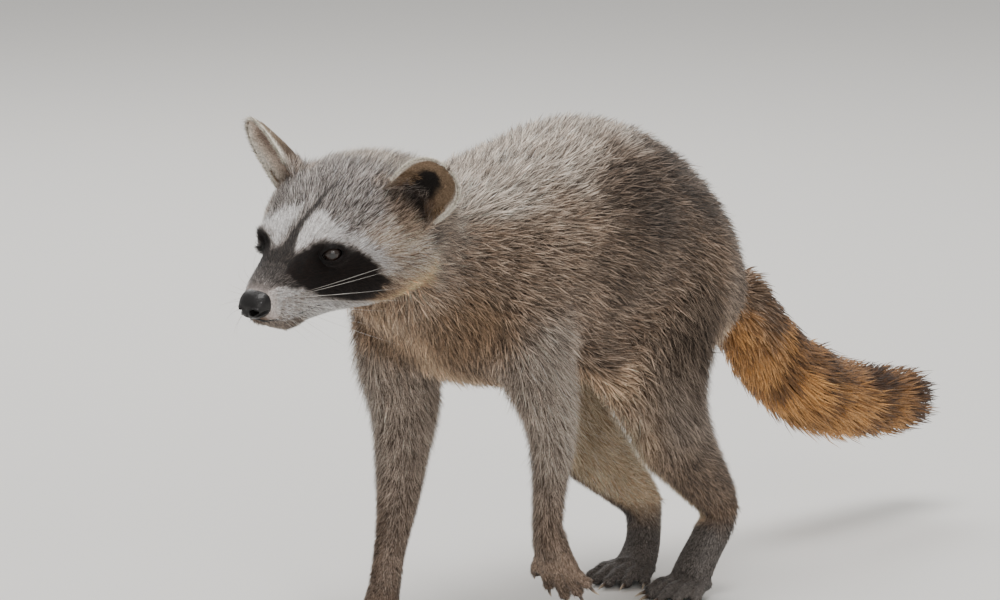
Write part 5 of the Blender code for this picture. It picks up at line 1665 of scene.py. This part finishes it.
EYE = along_piece("wet_eye", (
    (0.0, linear(6, 5, 5)),
    (0.115, linear(6, 5, 5)),
    (0.145, linear(38, 24, 15)),
    (0.26, linear(26, 16, 11)),
    (0.30, linear(8, 6, 6)),
    (1.0, linear(14, 11, 11)),
), 0.05, 0.4, 0.6)
LEATHER = leather("dark_leather", linear(9, 8, 8), linear(27, 24, 24), 1500, 0.36, 0.6)
HORN = along_piece("horn", (
    (0.0, linear(38, 30, 26)), (0.55, linear(72, 58, 48)), (1.0, linear(190, 172, 148)),
), 0.38, 0.5, 0.15, ridged=True)
WHISKER = along_piece("whisker_hair", (
    (0.0, linear(120, 112, 104)), (0.4, linear(200, 195, 188)), (1.0, linear(232, 228, 222)),
), 0.4, 0.5, 0.0)

for side in (1, -1):
    make_eye(side)
    make_lid(side)
make_nose()
tree = BVHTree.FromPolygons((points + SHIFT).tolist(), corners.tolist())
make_lips()


# Claws


def make_claws():
    """Curved horn: ovals that shrink along a path bent down, one claw on each toe."""
    parts, run = [], []
    stations, around = 16, 14
    shape, thick = np.array(CLAW_SHAPE).T
    for start, way, down, long_toe, drop, floor in toe_lines():
        lift, curl = (0.30, 0.24) if floor else (0.25, 0.34)
        root = start + way * (long_toe - 0.001) + down * (drop - TOE_RADIUS * lift)
        bow = CLAW_LENGTH * curl * np.maximum(shape, 0) ** 2
        path = root + way * (CLAW_LENGTH * shape)[:, None] + down * bow[:, None]
        if floor:
            path[:, 2] = np.maximum(path[:, 2], 0.0006)
        rows = np.column_stack([path, CLAW_RADIUS * thick * 0.72, CLAW_RADIUS * thick])
        parts.append(tube(rows, around, np.cross(way, down), stations))
        run.append(np.concatenate([np.repeat(np.linspace(0, 1, stations), around), [0, 1]]))
    claws = solid("claws", together(parts), SHIFT)
    run_along(claws, np.concatenate(run))
    place_piece(claws, HORN, "claw")


make_claws()


# Whiskers


def make_strands(name, slot, starts, leave, bend, long, thick, stations=12):
    """Long hairs: tapered three sided tubes from starts, that leave one way and bend to another."""
    t = np.linspace(0, 1, stations)
    path = starts[:, None] + long[:, None, None] * (
        leave[:, None] * t[None, :, None] + bend[:, None] * (t**2)[None, :, None])
    ahead = unit(np.gradient(path, axis=1))
    aside = unit(np.cross(ahead, np.array((0.3, 0.2, 0.93))))
    upward = np.cross(aside, ahead)
    size = thick[:, None] * (1 - t**1.3 * 0.93)
    turn = np.radians((90, 210, 330))
    rings = path[:, :, None] + size[..., None, None] * (
        np.cos(turn)[:, None] * aside[:, :, None] + np.sin(turn)[:, None] * upward[:, :, None])
    made = solid(name, together([skin_over(ring) for ring in rings]), SHIFT)
    run_along(made, np.tile(np.concatenate([np.repeat(t, 3), [0, 1]]), len(rings)))
    place_piece(made, WHISKER, slot)


def make_whiskers():
    """Four rows of whiskers on each pad and a few over each eye, longest at the back."""
    rows = []

    def add(spot, side, leave, bend, long):
        start, _ = on_skin(from_head(spot * (1, side, 1)))
        rows.append((start, unit(leave) @ AXES, np.array(bend) @ AXES, long))

    for side in (1, -1):
        for (row, k), spot in zip(WHISKER_ROWS, WHISKER_SPOTS):
            lift = 0.16 - 0.24 * row + draw.normal() * 0.10
            leave = (0.10 - 0.16 * k + draw.normal() * 0.06, side * 1.0, lift)
            bend = (-0.25 - 0.1 * k, side * -0.12, -0.16 - 0.05 * row)
            add(spot, side, leave, bend, (0.030 + 0.0055 * k) * draw.uniform(0.85, 1.1))
        for k in range(3):
            spot = np.array((0.004 - 0.005 * k, 0.0165 + 0.003 * k, 0.0135 + 0.001 * k))
            leave, bend = (0.25 - 0.2 * k, side * 0.55, 0.8), (-0.5, side * 0.1, -0.25)
            add(spot, side, leave, bend, 0.020 + 0.003 * k)
    starts, leave, bend, long = (np.array(column) for column in zip(*rows))
    make_strands("whiskers", "face_coat", starts, leave, bend, long, 0.00008 + 0.0011 * long)


make_whiskers()


# The studio and the photo's camera

studio_floor = make("floor", [(-6, -6, 0), (6, -6, 0), (6, 6, 0), (-6, 6, 0)], [[(0, 1, 2, 3)]])
paper, _, _, paper_shader = finish("pale_paper", 0.8, 0.2)
paper_shader.inputs["Base Color"].default_value = (0.74, 0.73, 0.71, 1)
studio_floor.data.materials.append(paper)
studio_floor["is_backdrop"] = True

# Square soft lights: name, place, what it is turned to, size, power, colour.
LAMPS = (
    ("key", (0.3, -0.5, 2.8), (0, 0, 0.2), 1.5, 66, (1.0, 0.985, 0.965)),
    ("fill", (2.4, -2.2, 1.2), (0, 0, 0.2), 2.2, 26, (1.0, 0.97, 0.94)),
    ("rim", (-1.4, 1.2, 1.8), (0, 0, 0.25), 1.4, 30, (1.0, 0.99, 0.97)),
    ("catch", (2.3, -1.6, 1.5), (0, -0.2, 0.25), 0.28, 6, (1.0, 0.99, 0.97)),
)
for name, at, aim, size, power, colour in LAMPS:
    light = bpy.data.lights.new(name, "AREA")
    light.shape, light.size, light.energy, light.color = "SQUARE", size, power, colour
    made = bpy.data.objects.new(name, light)
    made.location = at
    made.rotation_euler = (Vector(aim) - Vector(at)).to_track_quat("-Z", "Y").to_euler()
    bpy.context.scene.collection.objects.link(made)
world = bpy.data.worlds.new("studio")
world.use_nodes = True
sky = world.node_tree.nodes["Background"].inputs
sky["Color"].default_value, sky["Strength"].default_value = (0.93, 0.92, 0.90, 1), 0.62
bpy.context.scene.world = world

CAMERA_AT = np.array((2.54961, -3.52737, 0.93099))
CAMERA_TURN, CAMERA_RISE = math.radians(36), math.radians(9.5)
lens = bpy.data.cameras.new("camera")
lens.sensor_width, lens.lens = 36, 257.14
camera = bpy.data.objects.new("camera", lens)
back = np.array((
    math.sin(CAMERA_TURN) * math.cos(CAMERA_RISE),
    -math.cos(CAMERA_TURN) * math.cos(CAMERA_RISE),
    math.sin(CAMERA_RISE),
))
right = np.array((math.cos(CAMERA_TURN), math.sin(CAMERA_TURN), 0))
camera.matrix_world = Matrix.Translation(Vector(CAMERA_AT + SHIFT)) @ Matrix(
    np.stack([right, np.cross(back, right), back], 1).tolist()).to_4x4()
bpy.context.scene.collection.objects.link(camera)
bpy.context.scene.camera = camera
